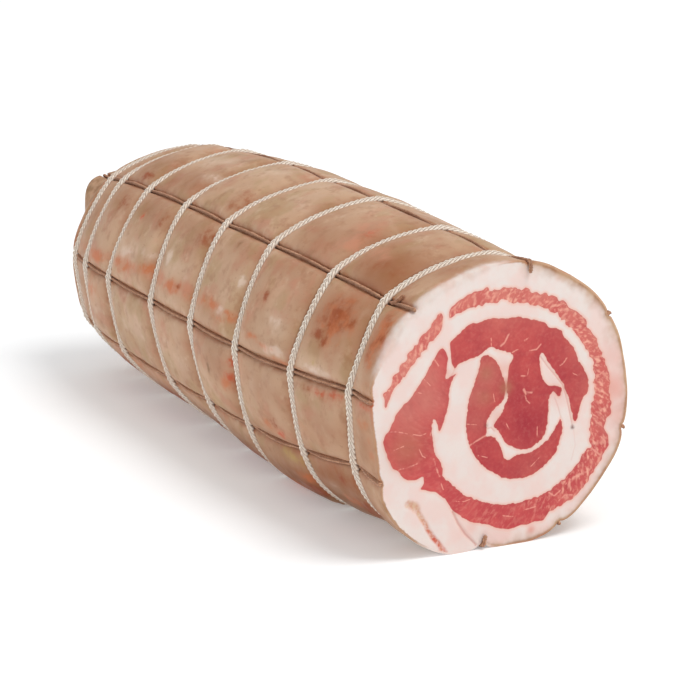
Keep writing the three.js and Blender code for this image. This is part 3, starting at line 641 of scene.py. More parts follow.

# Broad tones of the skin, given as the stains are. Light is painted sheen, and dark painted shade on the
# underside
TONES = {
    "brown": [
        (55, 148, 22, 17, 0.75), (38, 138, 14, 12, 0.5), (12, 150, 10, 24, 0.5), (88, 112, 24, 16, 0.6),
        (46, 121, 24, 20, 1.0), (115, 121, 20, 16, 0.5), (14, 108, 12, 22, 0.35), (112, 138, 20, 8, 0.4),
        (172, 138, 20, 8, 0.4), (228, 140, 24, 9, 0.55), (290, 140, 26, 9, 0.6), (340, 138, 22, 14, 0.55),
        (375, 150, 16, 30, 0.3), (140, 110, 20, 16, 0.25), (280, 121, 34, 12, 0.65),
        (335, 118, 30, 16, 0.65), (162, 188, 14, 8, 0.5), (86, 86, 22, 16, 0.55), (100, 190, 40, 10, 0.3),
        (50, 192, 20, 12, 0.4), (14, 190, 10, 20, 0.5), (130, 206, 40, 6, 0.4), (70, 206, 30, 6, 0.4),
        # Strips low on the left, 216 to 230 degrees: browner skin and partly painted shade of the underside
        (60, 216, 50, 13, 1.0), (100, 226, 50, 12, 1.0), (240, 230, 170, 12, 0.95),
        (380, 190, 20, 30, 0.4), (404, 200, 26, 60, 0.4), (150, 300, 200, 60, 0.45),
    ],
    # Broad painted sheen over the middles of the cells, round the painted highlights
    "light": [
        (100, 160, 12, 7, 0.7), (160, 158, 14, 8, 0.7), (228, 158, 12, 7, 0.5), (262, 152, 13, 6, 0.7),
        (300, 157, 18, 8, 0.6), (62, 168, 16, 4, 0.8), (18, 162, 8, 6, 0.4), (110, 164, 10, 5, 0.5),
        (118, 194, 14, 7, 0.35), (176, 192, 16, 8, 0.45), (228, 192, 18, 9, 0.45), (285, 190, 18, 9, 0.45),
        (232, 104, 24, 8, 0.5), (170, 96, 24, 10, 0.5), (118, 94, 20, 9, 0.45), (300, 104, 24, 8, 0.5),
        (346, 100, 16, 8, 0.4), (130, 20, 160, 40, 0.4),
    ],
    # Painted shade along the underside, low on the left
    "dark": [
        (80, 231, 75, 12, 1.0), (215, 229, 100, 11, 1.0), (340, 228, 60, 12, 0.9), (28, 226, 26, 9, 0.5),
    ],
}
SKIN_KINDS = [*STAINS, *TONES]
STAIN_WARP = 3.0
WARP_ALONG = [(1, 8, 31), (0.5, 3.2, 32)]
WARP_AROUND = [(1, 8, 33), (0.5, 3.2, 34)]
WARP_LEAST = 6.0
STAIN_RADIUS = 74.0

# The same kinds of stain, painted highlights among them, are scattered by a rule over the side that is
# turned away: how many, then the least and most of their half lengths, places along and round the roll,
# shares of width and strengths
HIDDEN_SEED = 7
HIDDEN_STAINS = 46
HIDDEN_SIZES = (4, 18)
HIDDEN_ALONG = (10, 380)
HIDDEN_DEGREES = (250, 430)
HIDDEN_WIDTHS = (0.3, 0.8)
HIDDEN_STRENGTHS = (0.2, 0.6)


def evenly(points, step, closed):
    """Points at even steps along a line through the given ones."""
    line = np.vstack([points, points[:1]]) if closed else np.asarray(points, float)
    lengths = np.concatenate([[0], np.cumsum(np.linalg.norm(np.diff(line, axis=0), axis=1))])
    count = max(2, round(lengths[-1] / step))
    wanted = np.linspace(0, lengths[-1], count + 1)
    if closed:
        wanted = wanted[:-1]
    return np.stack([np.interp(wanted, lengths, line[:, k]) for k in range(line.shape[1])], axis=1)


def rounded(points, spread):
    """A closed line with its corners eased over a few neighbouring points."""
    reach = max(1, round(2.5 * spread))
    steps = np.arange(-reach, reach + 1)
    weights = np.exp(-0.5 * (steps / spread) ** 2)
    weights /= weights.sum()
    return sum(w * np.roll(points, s, axis=0) for s, w in zip(steps, weights))


def ragged_outline(name):
    """The outline of a lean layer at the cut, anticlockwise, with the small steps of its real edge."""
    amount, size = RAGGED[name]
    loop = rounded(evenly(np.array(LEAN_OUTLINES[name], float), OUTLINE_FINE, True), OUTLINE_EASED)
    loop = evenly(loop, OUTLINE_STEP, True)
    onward = np.roll(loop, -1, axis=0)
    if np.sum(loop[:, 0] * onward[:, 1] - onward[:, 0] * loop[:, 1]) < 0:
        loop = loop[::-1].copy()
    outward = left_of(unit(np.roll(loop, -1, axis=0) - np.roll(loop, 1, axis=0)))
    bundles = bundle_places(loop, SLANT if name.startswith("outer") else 0.0) / MM * (1, BUNDLE_DEPTH, 1)
    if name == "outer_lean_spiral":
        amount = amount * np.interp(degrees_of(loop), STREAK_DEGREES, STREAK_STRENGTHS) ** RAGGED_POWER
    share, finer = RAGGED_FINER
    stray = amount * noises(bundles, (1, size, 11), (share, finer * size, 12))
    return loop + outward * stray[:, None]


def bundle_places(points, slant):
    """Metres along and across the lean's bundles, for points of the cut."""
    radius = np.linalg.norm(points, axis=1)
    degrees = degrees_of(points)
    turned = np.radians(np.where(degrees > GRAIN_STARTS, degrees - 360, degrees))
    return np.column_stack([turned * GRAIN_RADIUS + slant * radius, radius, np.zeros(len(points))]) * MM


def distance_to_line(points, line, closed=False):
    """Distance from each point to the nearest place of a line, all in two dimensions."""
    start = np.asarray(line, float)
    end = np.roll(start, -1, axis=0) if closed else start[1:]
    start = start if closed else start[:-1]
    along = end - start
    length = np.maximum((along ** 2).sum(axis=1), 1e-12)
    nearest = np.empty(len(points))
    for first in range(0, len(points), AT_A_TIME):
        offset = points[first:first + AT_A_TIME, None, :] - start[None]
        share = np.clip((offset * along).sum(axis=2) / length, 0, 1)
        gap = offset - share[..., None] * along
        nearest[first:first + AT_A_TIME] = np.sqrt((gap ** 2).sum(axis=2).min(axis=1))
    return nearest


def face_points(rim_loop, lean_loops):
    """Inner points of the cut: an even field, with finer rows along every vein, crack and seam."""
    reach = np.abs(rim_loop).max()
    across = np.arange(-reach, reach, FACE_STEP)
    rows = np.arange(-reach, reach, FACE_STEP * math.sqrt(3) / 2)
    field = np.vstack([np.column_stack([across + (i % 2) * FACE_STEP / 2, np.full(len(across), z)])
                       for i, z in enumerate(rows)])
    extra = []
    for line in [line for _, line in VEINS] + [crack[3] for crack in CRACKS] + [FLAP_SEAM]:
        middle = evenly(np.array(line, float), LINE_STEP, False)
        side = left_of(unit(np.gradient(middle, axis=0)))
        extra += [point for offset in LINE_ROWS for point in middle + side * offset]
        field = field[distance_to_line(field, middle) > LINE_CLEAR]
    field = np.vstack([field, thinned(extra, LEAST_STEP)])
    keep = distance_to_line(field, rim_loop, True) > RIM_CLEAR
    for loop in lean_loops:
        keep &= distance_to_line(field, loop, True) > OUTLINE_CLEAR
    return field[keep]


def thinned(points, least):
    """Leaves out points that lie closer than a least distance to one kept before."""
    kept = []
    taken = {}
    for point in points:
        key = (math.floor(point[0] / least), math.floor(point[1] / least))
        around = ((key[0] + a, key[1] + b) for a, b in itertools.product((-1, 0, 1), repeat=2))
        if all(math.dist(point, taken[k]) >= least for k in around if k in taken):
            taken[key] = tuple(point)
            kept.append(point)
    return np.array(kept)


def fill_loops(loops, *inner):
    """Triangles over the area inside the first loop, each with the number of the last loop around it."""
    points = np.vstack([*loops, *inner])
    starts = np.cumsum([0] + [len(loop) for loop in loops])
    outlines = [list(range(starts[k], starts[k + 1])) for k in range(len(loops))]
    found = geometry.delaunay_2d_cdt(points.tolist(), [], outlines, 1, 1e-7, True)
    if len(found[0]) != len(points):
        raise ValueError("the outlines of the cut cross each other")
    inside = np.array([max(owners) if owners else -1 for owners in found[5]])
    return points, np.array(found[2])[inside >= 0], inside[inside >= 0]


def relief_of_cut(points, rim_mm, lean_mm, in_lean):
    """How far each point of the cut stands forward of its plane."""
    forward = noises(on_plane(points), *CUT_UNEVEN)
    lowered = LEAN_SUNK * smooth(lean_mm, 0, LEAN_EASE)
    raised = FAT_RAISED * smooth(lean_mm, 0, FAT_EASE)
    forward -= np.where(in_lean, lowered, -raised)
    for width, _, depth, line in CRACKS:
        forward -= depth * fade(distance_to_line(points, line), CRACK_WIDER * width)
    for line, width in SEAM_LINES:
        forward -= SEAM_DEPTH * fade(distance_to_line(points, line), width, 4)
    return forward * smooth(rim_mm, 0, RIM_EASE)


# Meshes

LEAN_FIELDS = ("edge_mm", "vein", "grain", "streak", "tan", "dusty", "olive", "deep", "salmon", "speck")


def add_piece(name, points, faces, fields):
    """Makes a mesh object from points in the roll's frame, with numbers or vectors on its points."""
    mesh = bpy.data.meshes.new(name)
    mesh.from_pydata(((points + ORIGIN) * MM).tolist(), [], faces)
    for key, values in fields.items():
        values = np.asarray(values, np.float32)
        kind, slot = ("FLOAT_VECTOR", "vector") if values.ndim == 2 else ("FLOAT", "value")
        attribute = mesh.attributes.new(key, kind, "POINT")
        attribute.data.foreach_set(slot, values.ravel())
    mesh.validate()
    mesh.polygons.foreach_set("use_smooth", [True] * len(mesh.polygons))
    mesh.set_sharp_from_angle(angle=math.radians(CREASE))
    piece = bpy.data.objects.new(name, mesh)
    bpy.context.scene.collection.objects.link(piece)
    return piece


def wrapped_quads(first_row, second_row):
    """Quads between two closed rows of point numbers."""
    a, b = np.asarray(first_row), np.asarray(second_row)
    return np.stack([a, b, np.roll(b, -1), np.roll(a, -1)], axis=1).tolist()


def walls_and_back(loop, numbers, start):
    """Sides and back of a lean layer. Its loop has these point numbers, and new ones begin at start."""
    rows = []
    faces = []
    for behind, scale in LAYER_STOPS[1:]:
        rows.append(np.column_stack([np.full(len(loop), -behind), loop * scale]))
        current = np.arange(start, start + len(loop))
        faces += wrapped_quads(numbers, current)
        numbers = current
        start += len(loop)
    _, back, _ = fill_loops([loop])
    return rows, faces, numbers[back].tolist()


def lean_piece(name, loop, first, points, triangles, relief, fields):
    """A lean layer: its part of the cut, its sides and its back. Its loop starts at point number first."""
    used = np.unique(triangles)
    number = np.full(len(points), -1)
    number[used] = np.arange(len(used))
    own = slice(first, first + len(loop))
    rows, sides, back = walls_and_back(loop, number[own], len(used))
    faces = number[triangles].tolist() + sides + [face[::-1] for face in back]
    values = {key: np.concatenate([fields[key][used], *[fields[key][own] for _ in rows]])
              for key in LEAN_FIELDS}
    front = np.column_stack([relief[used], points[used]])
    return add_piece(name + "_meat", np.vstack([front, *rows]), faces, values)


def face_fields(points, rim_loop, loops, owner):
    """Numbers on the points of the cut that the materials are mixed by."""
    def strongest(lines):
        return np.max([most * fade(distance_to_line(points, line), width)
                       for width, most, line in lines], axis=0)

    fields = {"rim_mm": distance_to_line(points, rim_loop, True)}
    fields["edge_mm"] = np.min([distance_to_line(points, loop, True) for loop in loops.values()], axis=0)
    fields["vein"] = strongest([(width, 1, line) for width, line in VEINS])
    fields["crack"] = strongest([(width, strength, line) for width, strength, _, line in CRACKS])
    to_seam = np.min([distance_to_line(points, line) / width for line, width in SEAM_LINES], axis=0)
    fields["seam"] = fade(to_seam, 1, 4)
    fields["seam_red"] = smooth((SEAM_TOP - points[:, 1]) / SEAM_HEIGHT, *SEAM_REDDENS)
    for kind, spots in FACE_TINTS.items():
        fields[kind] = np.max([most * fade(np.linalg.norm(points - np.array([right, up]), axis=1), spread)
                               for right, up, spread, most in spots], axis=0)
    outer = np.isin(owner, OUTER_LAYERS)
    streaks = np.interp(degrees_of(points), STREAK_DEGREES, STREAK_STRENGTHS)
    fields["streak"] = np.where(owner == 1, 1.0, np.where(outer, streaks, INNER_STREAKS))
    across = bundle_places(points, SLANT) * (1, ACROSS, 1)
    fields["grain"] = np.where(outer[:, None], across, on_plane(points) * MM)
    return fields


def stain_fields(behind, angle, points):
    """How strongly each kind of stain, tone, painted highlight and painted shade shows at the points of the
    skin.
    """
    spots = [(kind, *spot) for group in (STAINS, TONES) for kind, own in group.items() for spot in own]
    generator = np.random.default_rng(HIDDEN_SEED)
    for _ in range(HIDDEN_STAINS):
        kind = list(STAINS)[generator.integers(len(STAINS))]
        size = generator.uniform(*HIDDEN_SIZES)
        spots.append((kind, generator.uniform(*HIDDEN_ALONG), generator.uniform(*HIDDEN_DEGREES), size,
                      size * generator.uniform(*HIDDEN_WIDTHS), generator.uniform(*HIDDEN_STRENGTHS)))
    warp_along = STAIN_WARP * noises(points, *WARP_ALONG)
    warp_around = STAIN_WARP * noises(points, *WARP_AROUND)
    fields = {kind: np.zeros(len(points)) for kind in SKIN_KINDS}
    for kind, at, degrees, long, wide, strength in spots:
        turn = (angle - degrees + 180) % 360 - 180
        along = (behind - at + warp_along * min(1, long / WARP_LEAST)) / long
        across = (np.radians(turn) * STAIN_RADIUS + warp_around * min(1, wide / WARP_LEAST)) / wide
        fields[kind] = np.maximum(fields[kind], strength * np.exp(-(along ** 2 + across ** 2)))
    return fields


def between(degrees, start, end, ease=EASE):
    """1 between two angles and 0 outside them, eased at both."""
    return smooth(degrees, start - ease, start + ease) * (1 - smooth(degrees, end - ease, end + ease))


def strongest_fade(degrees, distance, fades, stray):
    return np.max([most * between(degrees, start, end, ease) * fade(distance, width * stray)
                   for start, end, ease, most, width in fades], axis=0)


def rim_shape(points, behind, degrees):
    """How much lower the skin lies near the cut, where its edge is worn or torn."""
    radius = RIM_BEVEL + RIM_WORN * between(degrees, *WORN_STRETCH)
    into = np.clip(1 - behind / radius, 0, 1)
    worn = radius * (1 - np.sqrt(1 - into ** 2))
    torn = sum(between(degrees, *stretch) for stretch in TORN_STRETCHES)
    scraps = np.maximum(noises(points, *SCRAPS), 0)
    return worn - TORN_SCRAPS * torn * scraps * fade(behind, TORN_REACH, 1)


def rind_on_skin(points, behind, degrees):
    """1 where rind covers the skin, and less towards the cut where it is worn off the fat."""
    return 1 - strongest_fade(degrees, behind, SKIN_FADES, 1 + noises(points, *SKIN_STRAY))


def rind_on_cut(points, rim_mm):
    """How strongly the rind's colour shows on the cut: a thin edge on the right, and wider fades."""
    degrees = degrees_of(points) % 360
    stray = 1 + noises(on_plane(points), *CUT_STRAY)
    return sum(strongest_fade(degrees, rim_mm, fades, stray) for fades in (CUT_FADES, CUT_EDGES))


def build_roll_and_lean():
    """The roll, its lean layers, and the places and points of the skin's last row, where strings run on."""
    grid_behind, grid_around = skin_places()
    rows, columns = grid_behind.shape
    behind = grid_behind.ravel()
    around = grid_around.ravel()
    degrees = np.degrees(string_angle(around, behind)) % 360
    height = skin_height(behind, around)
    height -= rim_shape(place(behind, around, height), behind, degrees)
    skin = place(behind, around, height)
    _, _, to_hoop, to_string = nearest_ties(behind, around)

    rim_loop = skin[:columns, 1:]
    last_row = skin[-columns:]
    shares = np.cos(np.linspace(0, np.pi / 2, END_RINGS + 1)[1:-1])
    end_gap = to_string[-columns:]
    pole = end_surface(0.0, last_row, end_gap)[0].mean(axis=0, keepdims=True)
    end = np.vstack([*(end_surface(share, last_row, end_gap)[0] for share in shares), pole])

    loops = {name: ragged_outline(name) for name in LEAN_OUTLINES}
    inner = face_points(rim_loop, list(loops.values()))
    points, triangles, layer_of_face = fill_loops([rim_loop, *loops.values()], inner)
    layer = np.zeros(len(points), int)
    layer[triangles.ravel()] = np.repeat(layer_of_face, 3)
    fields = face_fields(points, rim_loop, loops, layer)
    relief = relief_of_cut(points, fields["rim_mm"], fields["edge_mm"], layer > 0)
    firsts = dict(zip(loops, np.cumsum([columns] + [len(loop) for loop in loops.values()])))

    # The mesh holds the skin, the far end, the cut without its rim, and the walls of the pockets
    used = np.unique(triangles[layer_of_face == 0])
    used = used[used >= columns]
    cut_starts = len(skin) + len(end)
    number = np.full(len(points), -1)
    number[:columns] = np.arange(columns)
    number[used] = cut_starts + np.arange(len(used))
    vertices = [skin, end, np.column_stack([relief[used], points[used]])]
    faces = number[triangles[layer_of_face == 0]].tolist()
    rings = np.arange((rows + len(shares)) * columns).reshape(-1, columns)
    for before, after in zip(rings, rings[1:]):
        faces += wrapped_quads(before, after)
    faces += [[a, cut_starts - 1, b] for a, b in zip(rings[-1].tolist(), np.roll(rings[-1], -1).tolist())]
    start = cut_starts + len(used)
    for name, loop in loops.items():
        numbers = number[firsts[name]:firsts[name] + len(loop)]
        pocket, sides, back = walls_and_back(loop, numbers, start)
        faces += [face[::-1] for face in sides] + back
        vertices += pocket
        start += len(pocket) * len(loop)

    # Numbers that the material is mixed by, for the skin, the far end and the cut; the pockets have none
    end_share = np.append(np.repeat(shares, columns), 0.0)
    beyond = (1 - end_share) * END_REACH
    end_degrees = np.degrees(np.arctan2(end[:, 2] - SAG["z"], end[:, 1] - SAG["y"])) % 360
    on_skin = stain_fields(behind, degrees, skin)
    on_end = stain_fields(END_STARTS + beyond, end_degrees, end)
    lump_stain = LUMP_STAIN * fade(from_lump(end), LUMP_STAIN_SPREAD * LUMP["spread"], 4)
    on_end["olive"] = np.maximum(on_end["olive"], lump_stain)
    end_string = mix(END_OPEN, np.append(np.tile(end_gap, len(shares)), END_OPEN), end_share)
    parts = {kind: (on_skin[kind], on_end[kind], 0.0) for kind in SKIN_KINDS}
    parts["cut"] = (0.0, 0.0, 1.0)
    parts["to_string"] = (to_string, end_string, FAR_OFF)
    parts["to_hoop"] = (to_hoop, NEAR + beyond, FAR_OFF)
    parts["end_fat"] = (0.0, smooth(1 - end_share, *END_FAT), 0.0)
    cut_rind = rind_on_cut(points[used], fields["rim_mm"][used])
    parts["rind"] = (rind_on_skin(skin, behind, degrees), 1.0, cut_rind)
    parts["edge_mm"] = (FAR_OFF, FAR_OFF, fields["edge_mm"][used])
    parts["contact"] = (0.0, 0.0, fields["olive"][used])
    for key in ("crack", "seam", "seam_red", "blush", "speck"):
        parts[key] = (0.0, 0.0, fields[key][used])
    sizes = (len(skin), len(end), len(used), start - cut_starts - len(used))
    values = {key: np.concatenate([np.broadcast_to(part, size) for part, size in zip((*three, 0.0), sizes)])
              for key, three in parts.items()}
    roll = add_piece("pancetta_roll", np.vstack(vertices), faces, values)

    pieces = {}
    for k, (name, loop) in enumerate(loops.items()):
        own = triangles[layer_of_face == k + 1]
        pieces[name] = lean_piece(name, loop, firsts[name], points, own, relief, fields)
    return roll, pieces, grid_around[-1], last_row


# Twine and string

# How the strands of each run: how far they swing to the side and, twice as often, out, their radius, the
# length of a turn, how uneven they are, and the step of their points
BRAID = {"side": 1.22, "out": 0.56, "radius": 1.28, "pitch": 8.6, "uneven": 0.12, "step": 0.62 * FINE}
TWIST = {"side": 0.6, "out": 0.32, "radius": 0.66, "pitch": 4.4, "uneven": 0.35, "step": 0.6 * FINE}
STRANDS = 3
SIDES = 7
TIP = 0.2
TIP_THICKNESS = 0.55
HOOP_POINTS = 480
HOOP_EASED = 2.0
STRING_POINTS = 200

# The strings start this far before the cut. On the far end they lie this close to the skin at its rim, and
# looser in its middle, and each goes over those it crosses by this many radii
STRING_STARTS = 0.25
STRING_LOOSE = 0.05
END_LOOSE = 0.5
CROSSING = 2.3
CROSSING_ENDS = (0.08, 0.4)
END_SHARES = np.cos(np.linspace(0.08, np.pi / 2 - 0.1, 40))

# How the strands stray: amount, size and seed of the noise for their swing, size and seed of that for their
# thickness, and how far apart the three strands' noises are taken
SWING_UNEVEN = (0.1, 5, 51)
THICKNESS_UNEVEN = (2.2, 52)
SWINGS_APART = 40
THICKNESSES_APART = 90

# Short ends of the strings, by the string's number: one sticks out from under the first hoop, and two hang
# over the rim of the cut. Distance behind the cut, millimetres to the side, height above the twine's middle
STUBS = {
    0: [(5, 0, -0.2), (1.5, 0, -0.1), (-0.4, 0, -0.4), (-1.3, -0.3, -1.6), (-1.5, -0.8, -5.2)],
    1: [(25, 0.4, -1.4), (21, -0.6, 0.0), (18.6, -1.8, 1.2), (17, -3.0, 2.0), (16, -4.2, 2.4)],
    4: [(5, 0, -0.2), (1.5, 0, -0.1), (-0.4, 0, -0.4), (-1.3, 0.2, -1.6), (-1.5, 0.3, -5.4)],
}
STUB_AWAY = [0.3, -0.5, 0.8]


def square_to(vectors, onward):
    return unit(vectors - (vectors * onward).sum(axis=1, keepdims=True) * onward)


def strands(route, away, closed, lay):
    """Strands plaited or twisted along a route; away points roughly out of the roll or beside the route."""
    step = lay["step"]
    even = evenly(np.hstack([route, away]), step, closed)
    path = even[:, :3]

    def onward_along(line):
        if closed:
            return unit(np.roll(line, -1, axis=0) - np.roll(line, 1, axis=0))
        return unit(np.gradient(line, axis=0))

    onward = onward_along(path)
    beside = square_to(even[:, 3:], onward)
    outward = np.cross(onward, beside)
    count = len(path)
    turns = max(1, round(count * step / lay["pitch"]))
    section = 2 * np.pi * np.arange(SIDES) / SIDES
    vertices = []
    faces = []
    threads = []
    for strand in range(STRANDS):
        base = sum(len(points) for points in vertices)
        turn = 2 * np.pi * (np.arange(count) / count * turns + strand / STRANDS)
        swing = 1 + noises(path + SWINGS_APART * strand, SWING_UNEVEN)
        aside = (swing * lay["side"] * np.sin(turn))[:, None] * beside
        middle = path + aside + (swing * lay["out"] * np.sin(2 * turn))[:, None] * outward
        along = onward_along(middle)
        out = square_to(outward, along)
        uneven = lay["uneven"] * noise(path + THICKNESSES_APART * strand, *THICKNESS_UNEVEN)
        thick = lay["radius"] * (1 + uneven)
        if not closed:
            thick[[0, -1]] *= TIP_THICKNESS
        cross = np.cross(along, out)
        ring = np.cos(section)[:, None] * out[:, None] + np.sin(section)[:, None] * cross[:, None]
        vertices.append((middle[:, None] + thick[:, None, None] * ring).reshape(-1, 3))
        places = np.broadcast_arrays((np.arange(count) * step)[:, None], section[None, :], float(strand))
        threads.append(np.stack(places, axis=-1).reshape(-1, 3))
        rings = base + np.arange(count * SIDES).reshape(count, SIDES)
        for row in range(count if closed else count - 1):
            faces += wrapped_quads(rings[(row + 1) % count], rings[row])
        if not closed:
            tip = base + count * SIDES
            vertices.append(np.array([middle[0] - TIP * along[0], middle[-1] + TIP * along[-1]]))
            threads.append(np.array([[0.0, 0.0, strand], [count * step, 0.0, strand]]))
            faces += [[a, b, tip] for a, b in zip(np.roll(rings[0], -1).tolist(), rings[0].tolist())]
            faces += [[a, b, tip + 1] for a, b in zip(rings[-1].tolist(), np.roll(rings[-1], -1).tolist())]
    return np.vstack(vertices), faces, np.vstack(threads)


def hoop_piece(number):
    around = np.linspace(0, CELLS, HOOP_POINTS, endpoint=False)
    route = rounded(place(hoop_behind(number, around), around, np.zeros(HOOP_POINTS)), HOOP_EASED)
    points, faces, thread = strands(route, np.tile([1.0, 0.0, 0.0], (len(route), 1)), True, BRAID)
    return add_piece(f"hoop_of_twine_{number}", points, faces, {"thread": thread})


def string_half(number, layer, rim_places, rim):
    """One side of a lengthwise string, from the cut back to the middle of the far end."""
    last = float(hoop_behind(len(HOOPS), np.array([float(number)]))[0]) + NEAR_STEPS[-1]
    behind = np.linspace(0.0, last, STRING_POINTS)
    around = np.full(len(behind), float(number))
    straight = place(behind, around, string_height(behind, around))
    straight[0, 0] += STRING_STARTS
    column = int(np.argmin(np.abs(rim_places - number)))
    over_end = []
    for share in END_SHARES:
        surface, outward = end_surface(float(share), rim, np.zeros(len(rim)))
        crossing = layer * CROSSING * STRING_RADIUS * (1 - smooth(share, *CROSSING_ENDS))
        lift = STRING_RADIUS + STRING_LOOSE + END_LOOSE * (1 - share) + crossing
        over_end.append(surface[column] + outward[column] * lift)
    return np.vstack([straight, over_end])


def string_piece(layer, rim_places, rim):
    sides = (layer, layer + CELLS // 2)
    near, far = (string_half(number, layer, rim_places, rim) for number in sides)
    route = np.vstack([near, far[::-1]])
    parts = [strands(route, route - np.array([-ROLL_LENGTH / 2, 0, 0]), False, TWIST)]
    for number in sides:
        if number in STUBS:
            behind, aside, height = np.array(STUBS[number], float).T
            around = number + aside / cell_width(np.full(len(aside), number - 1) % CELLS, behind)
            stub_away = np.tile(STUB_AWAY, (len(aside), 1))
            parts.append(strands(place(behind, around, height), stub_away, False, TWIST))
    faces = []
    count = 0
    for points, own, _ in parts:
        faces += [[corner + count for corner in face] for face in own]
        count += len(points)
    vertices, _, threads = zip(*parts)
    fields = {"thread": np.vstack(threads)}
    return add_piece(f"stained_string_{layer + 1}", np.vstack(vertices), faces, fields)


# Materials

def colour(red, green, blue):
    """A colour given in the 0 to 255 steps of a screen, as linear light."""
    scaled = [channel / 255 for channel in (red, green, blue)]
    return tuple(c / 12.92 if c <= 0.04045 else ((c + 0.055) / 1.055) ** 2.4 for c in scaled) + (1.0,)


class Look:
    """One material, whose nodes are put together by short calls."""

    def __init__(self, name):
        self.material = bpy.data.materials.new(name)
        self.material.use_nodes = True
        self.tree = self.material.node_tree
        self.place = self.run("ShaderNodeTexCoord", {}, "Object")

    def fill(self, node, inputs):
        for key, value in inputs.items():
            if isinstance(value, bpy.types.NodeSocket):
                self.tree.links.new(value, node.inputs[key])
            else:
                node.inputs[key].default_value = value

    def run(self, kind, inputs, output=0, **settings):
        """Adds a node with its settings and inputs, and gives one of its outputs."""
        node = self.tree.nodes.new(kind)
        for key, value in settings.items():
            setattr(node, key, value)
        self.fill(node, inputs)
        return node.outputs[output]

    def math(self, operation, a, b=0.0, clamp=False):
        return self.run("ShaderNodeMath", {0: a, 1: b}, operation=operation, use_clamp=clamp)

    def ramp(self, value, low, high, start=0.0, end=1.0):
        inputs = dict(enumerate((value, low, high, start, end)))
        return self.run("ShaderNodeMapRange", inputs, interpolation_type="SMOOTHSTEP")

    def blend(self, factor, a, b):
        """Mixes two colours, each a socket or three steps of a screen."""
        a, b = (colour(*value) if isinstance(value, tuple) else value for value in (a, b))
        inputs = {"Factor": factor, 6: a, 7: b}
        return self.run("ShaderNodeMix", inputs, 2, data_type="RGBA", blend_type="MIX")

    def tint(self, base, name, most, over):
        """Lays a colour over the base, as strongly as a field of the mesh says."""
        return self.blend(self.math("MULTIPLY", self.field(name), most), base, over)

    def cloud(self, base, over, size, low, high, most, detail=4.0, rough=0.6):
        """Lays a colour over the base in soft patches."""
        return self.blend(self.patches(size, low, high, 0.0, most, detail, rough), base, over)

    def patches(self, size, low, high, start=0.0, end=1.0, detail=3.0, rough=0.5):
        return self.ramp(self.noise(size, detail, rough=rough), low, high, start, end)

    def stretched(self, vector, *scale):
        return self.run("ShaderNodeVectorMath", {0: vector, 1: scale}, operation="MULTIPLY")

    def noise(self, size, detail=2.0, vector=None, rough=0.5, bend=0.0):
        inputs = {"Vector": vector or self.place, "Scale": 1 / (size * MM), "Detail": detail}
        return self.run("ShaderNodeTexNoise", {**inputs, "Roughness": rough, "Distortion": bend}, "Fac")

    def field(self, name, output="Fac"):
        return self.run("ShaderNodeAttribute", {}, output, attribute_name=name)

    def bump(self, height, distance, strength=1.0, **before):
        inputs = {"Strength": strength, "Distance": distance * MM, "Height": height}
        return self.run("ShaderNodeBump", {**inputs, **before}, "Normal")

    def finish(self, **inputs):
        """Sets the surface's inputs, whose names are given with low lines for spaces."""
        surface = self.tree.nodes["Principled BSDF"]
        self.fill(surface, {key.replace("_", " "): value for key, value in inputs.items()})
        return self.material


def patchy(look, amount, size, most):
    """The strength of a stain or a painted highlight: a soft patch with an uneven darker middle, as of a
    water colour.
    """
    broken = look.patches(size, 0.32, 0.68, 0.4, 1.5, 4.0, 0.6)
    middle = look.ramp(look.math("MULTIPLY", amount, broken), 0.2, 0.9, 0.0, 0.62 * most)
    return look.math("ADD", middle, look.math("MULTIPLY", amount, 0.38 * most), True)


# Colours, in the 0 to 255 steps of a screen. Rind and its patches, then painted shade beside the ties and
# painted shadow lines along their edges
RIND = [(200, 162, 132), (190, 150, 120)]
ROSY = (194, 137, 110)
GREENISH = (178, 146, 106)
WAXY = (216, 186, 158)
BLOTCH = (158, 106, 74)
FRECKLE = (146, 96, 66)
PAINTED_SHADE_BESIDE_HOOP = (156, 104, 74)
PAINTED_SHADOW_AT_HOOP = (104, 66, 46)
PAINTED_SHADE_BESIDE_STRING = (170, 108, 78)
PAINTED_SHADOW_AT_STRING = (146, 98, 68)
END_TINT = (206, 176, 148)
RIM_TINTS = [(190, 152, 120), (168, 124, 92)]

# Fat, its tints and the seam of the flap
FAT = [(232, 219, 212), (234, 210, 202)]
FAT_FINE = (233, 203, 193)
BESIDE_LEAN = (238, 190, 174)
BLUSH = (226, 152, 136)
CRACK = (212, 140, 124)
SEAM = [(220, 182, 152), (204, 84, 58)]
SEAM_PATCH = (212, 148, 122)
CONTACT = (184, 112, 86)
FAT_SPECK = (110, 62, 52)

# Lean: its veins, its edge and its specks, and what shows between the bundles
OUTER_LEAN = [(202, 84, 82), (192, 72, 74)]
INNER_LEAN = [(192, 75, 73), (181, 63, 66)]
PALE_LEAN = (240, 178, 156)
BUNDLE = (120, 30, 40)
VEIN = (230, 156, 140)
LEAN_EDGE = (214, 128, 118)
LEAN_SPECK = (96, 42, 42)

# Twine and string: light and dark, and the painted shade of the gaps between their strands
TWINE = [(255, 250, 238), (250, 233, 214), (152, 112, 88)]
STRING = [(222, 172, 136), (162, 106, 76), (96, 58, 38)]

# Stains and painted highlights on the skin: kind, colour, size of the patches that break it up, and most
# strength
SKIN_TINTS = [
    ("pink", (204, 140, 112), 9, 0.8), ("yellow", (190, 158, 92), 8, 0.8),
    # pale is a painted highlight
    ("pale", (232, 208, 190), 7, 0.75), ("olive", (132, 92, 52), 5, 0.85),
    ("orange", (202, 112, 64), 6, 0.8), ("rust", (152, 68, 24), 4.5, 0.92),
    ("red", (200, 78, 42), 4, 0.92),
]
# Its broad tones: kind, most strength and colour. Light is painted sheen, dark painted shade on the
# underside
SKIN_TONES = [("brown", 0.85, (154, 96, 60)), ("light", 0.7, (218, 186, 156)), ("dark", 0.7, (124, 76, 36))]


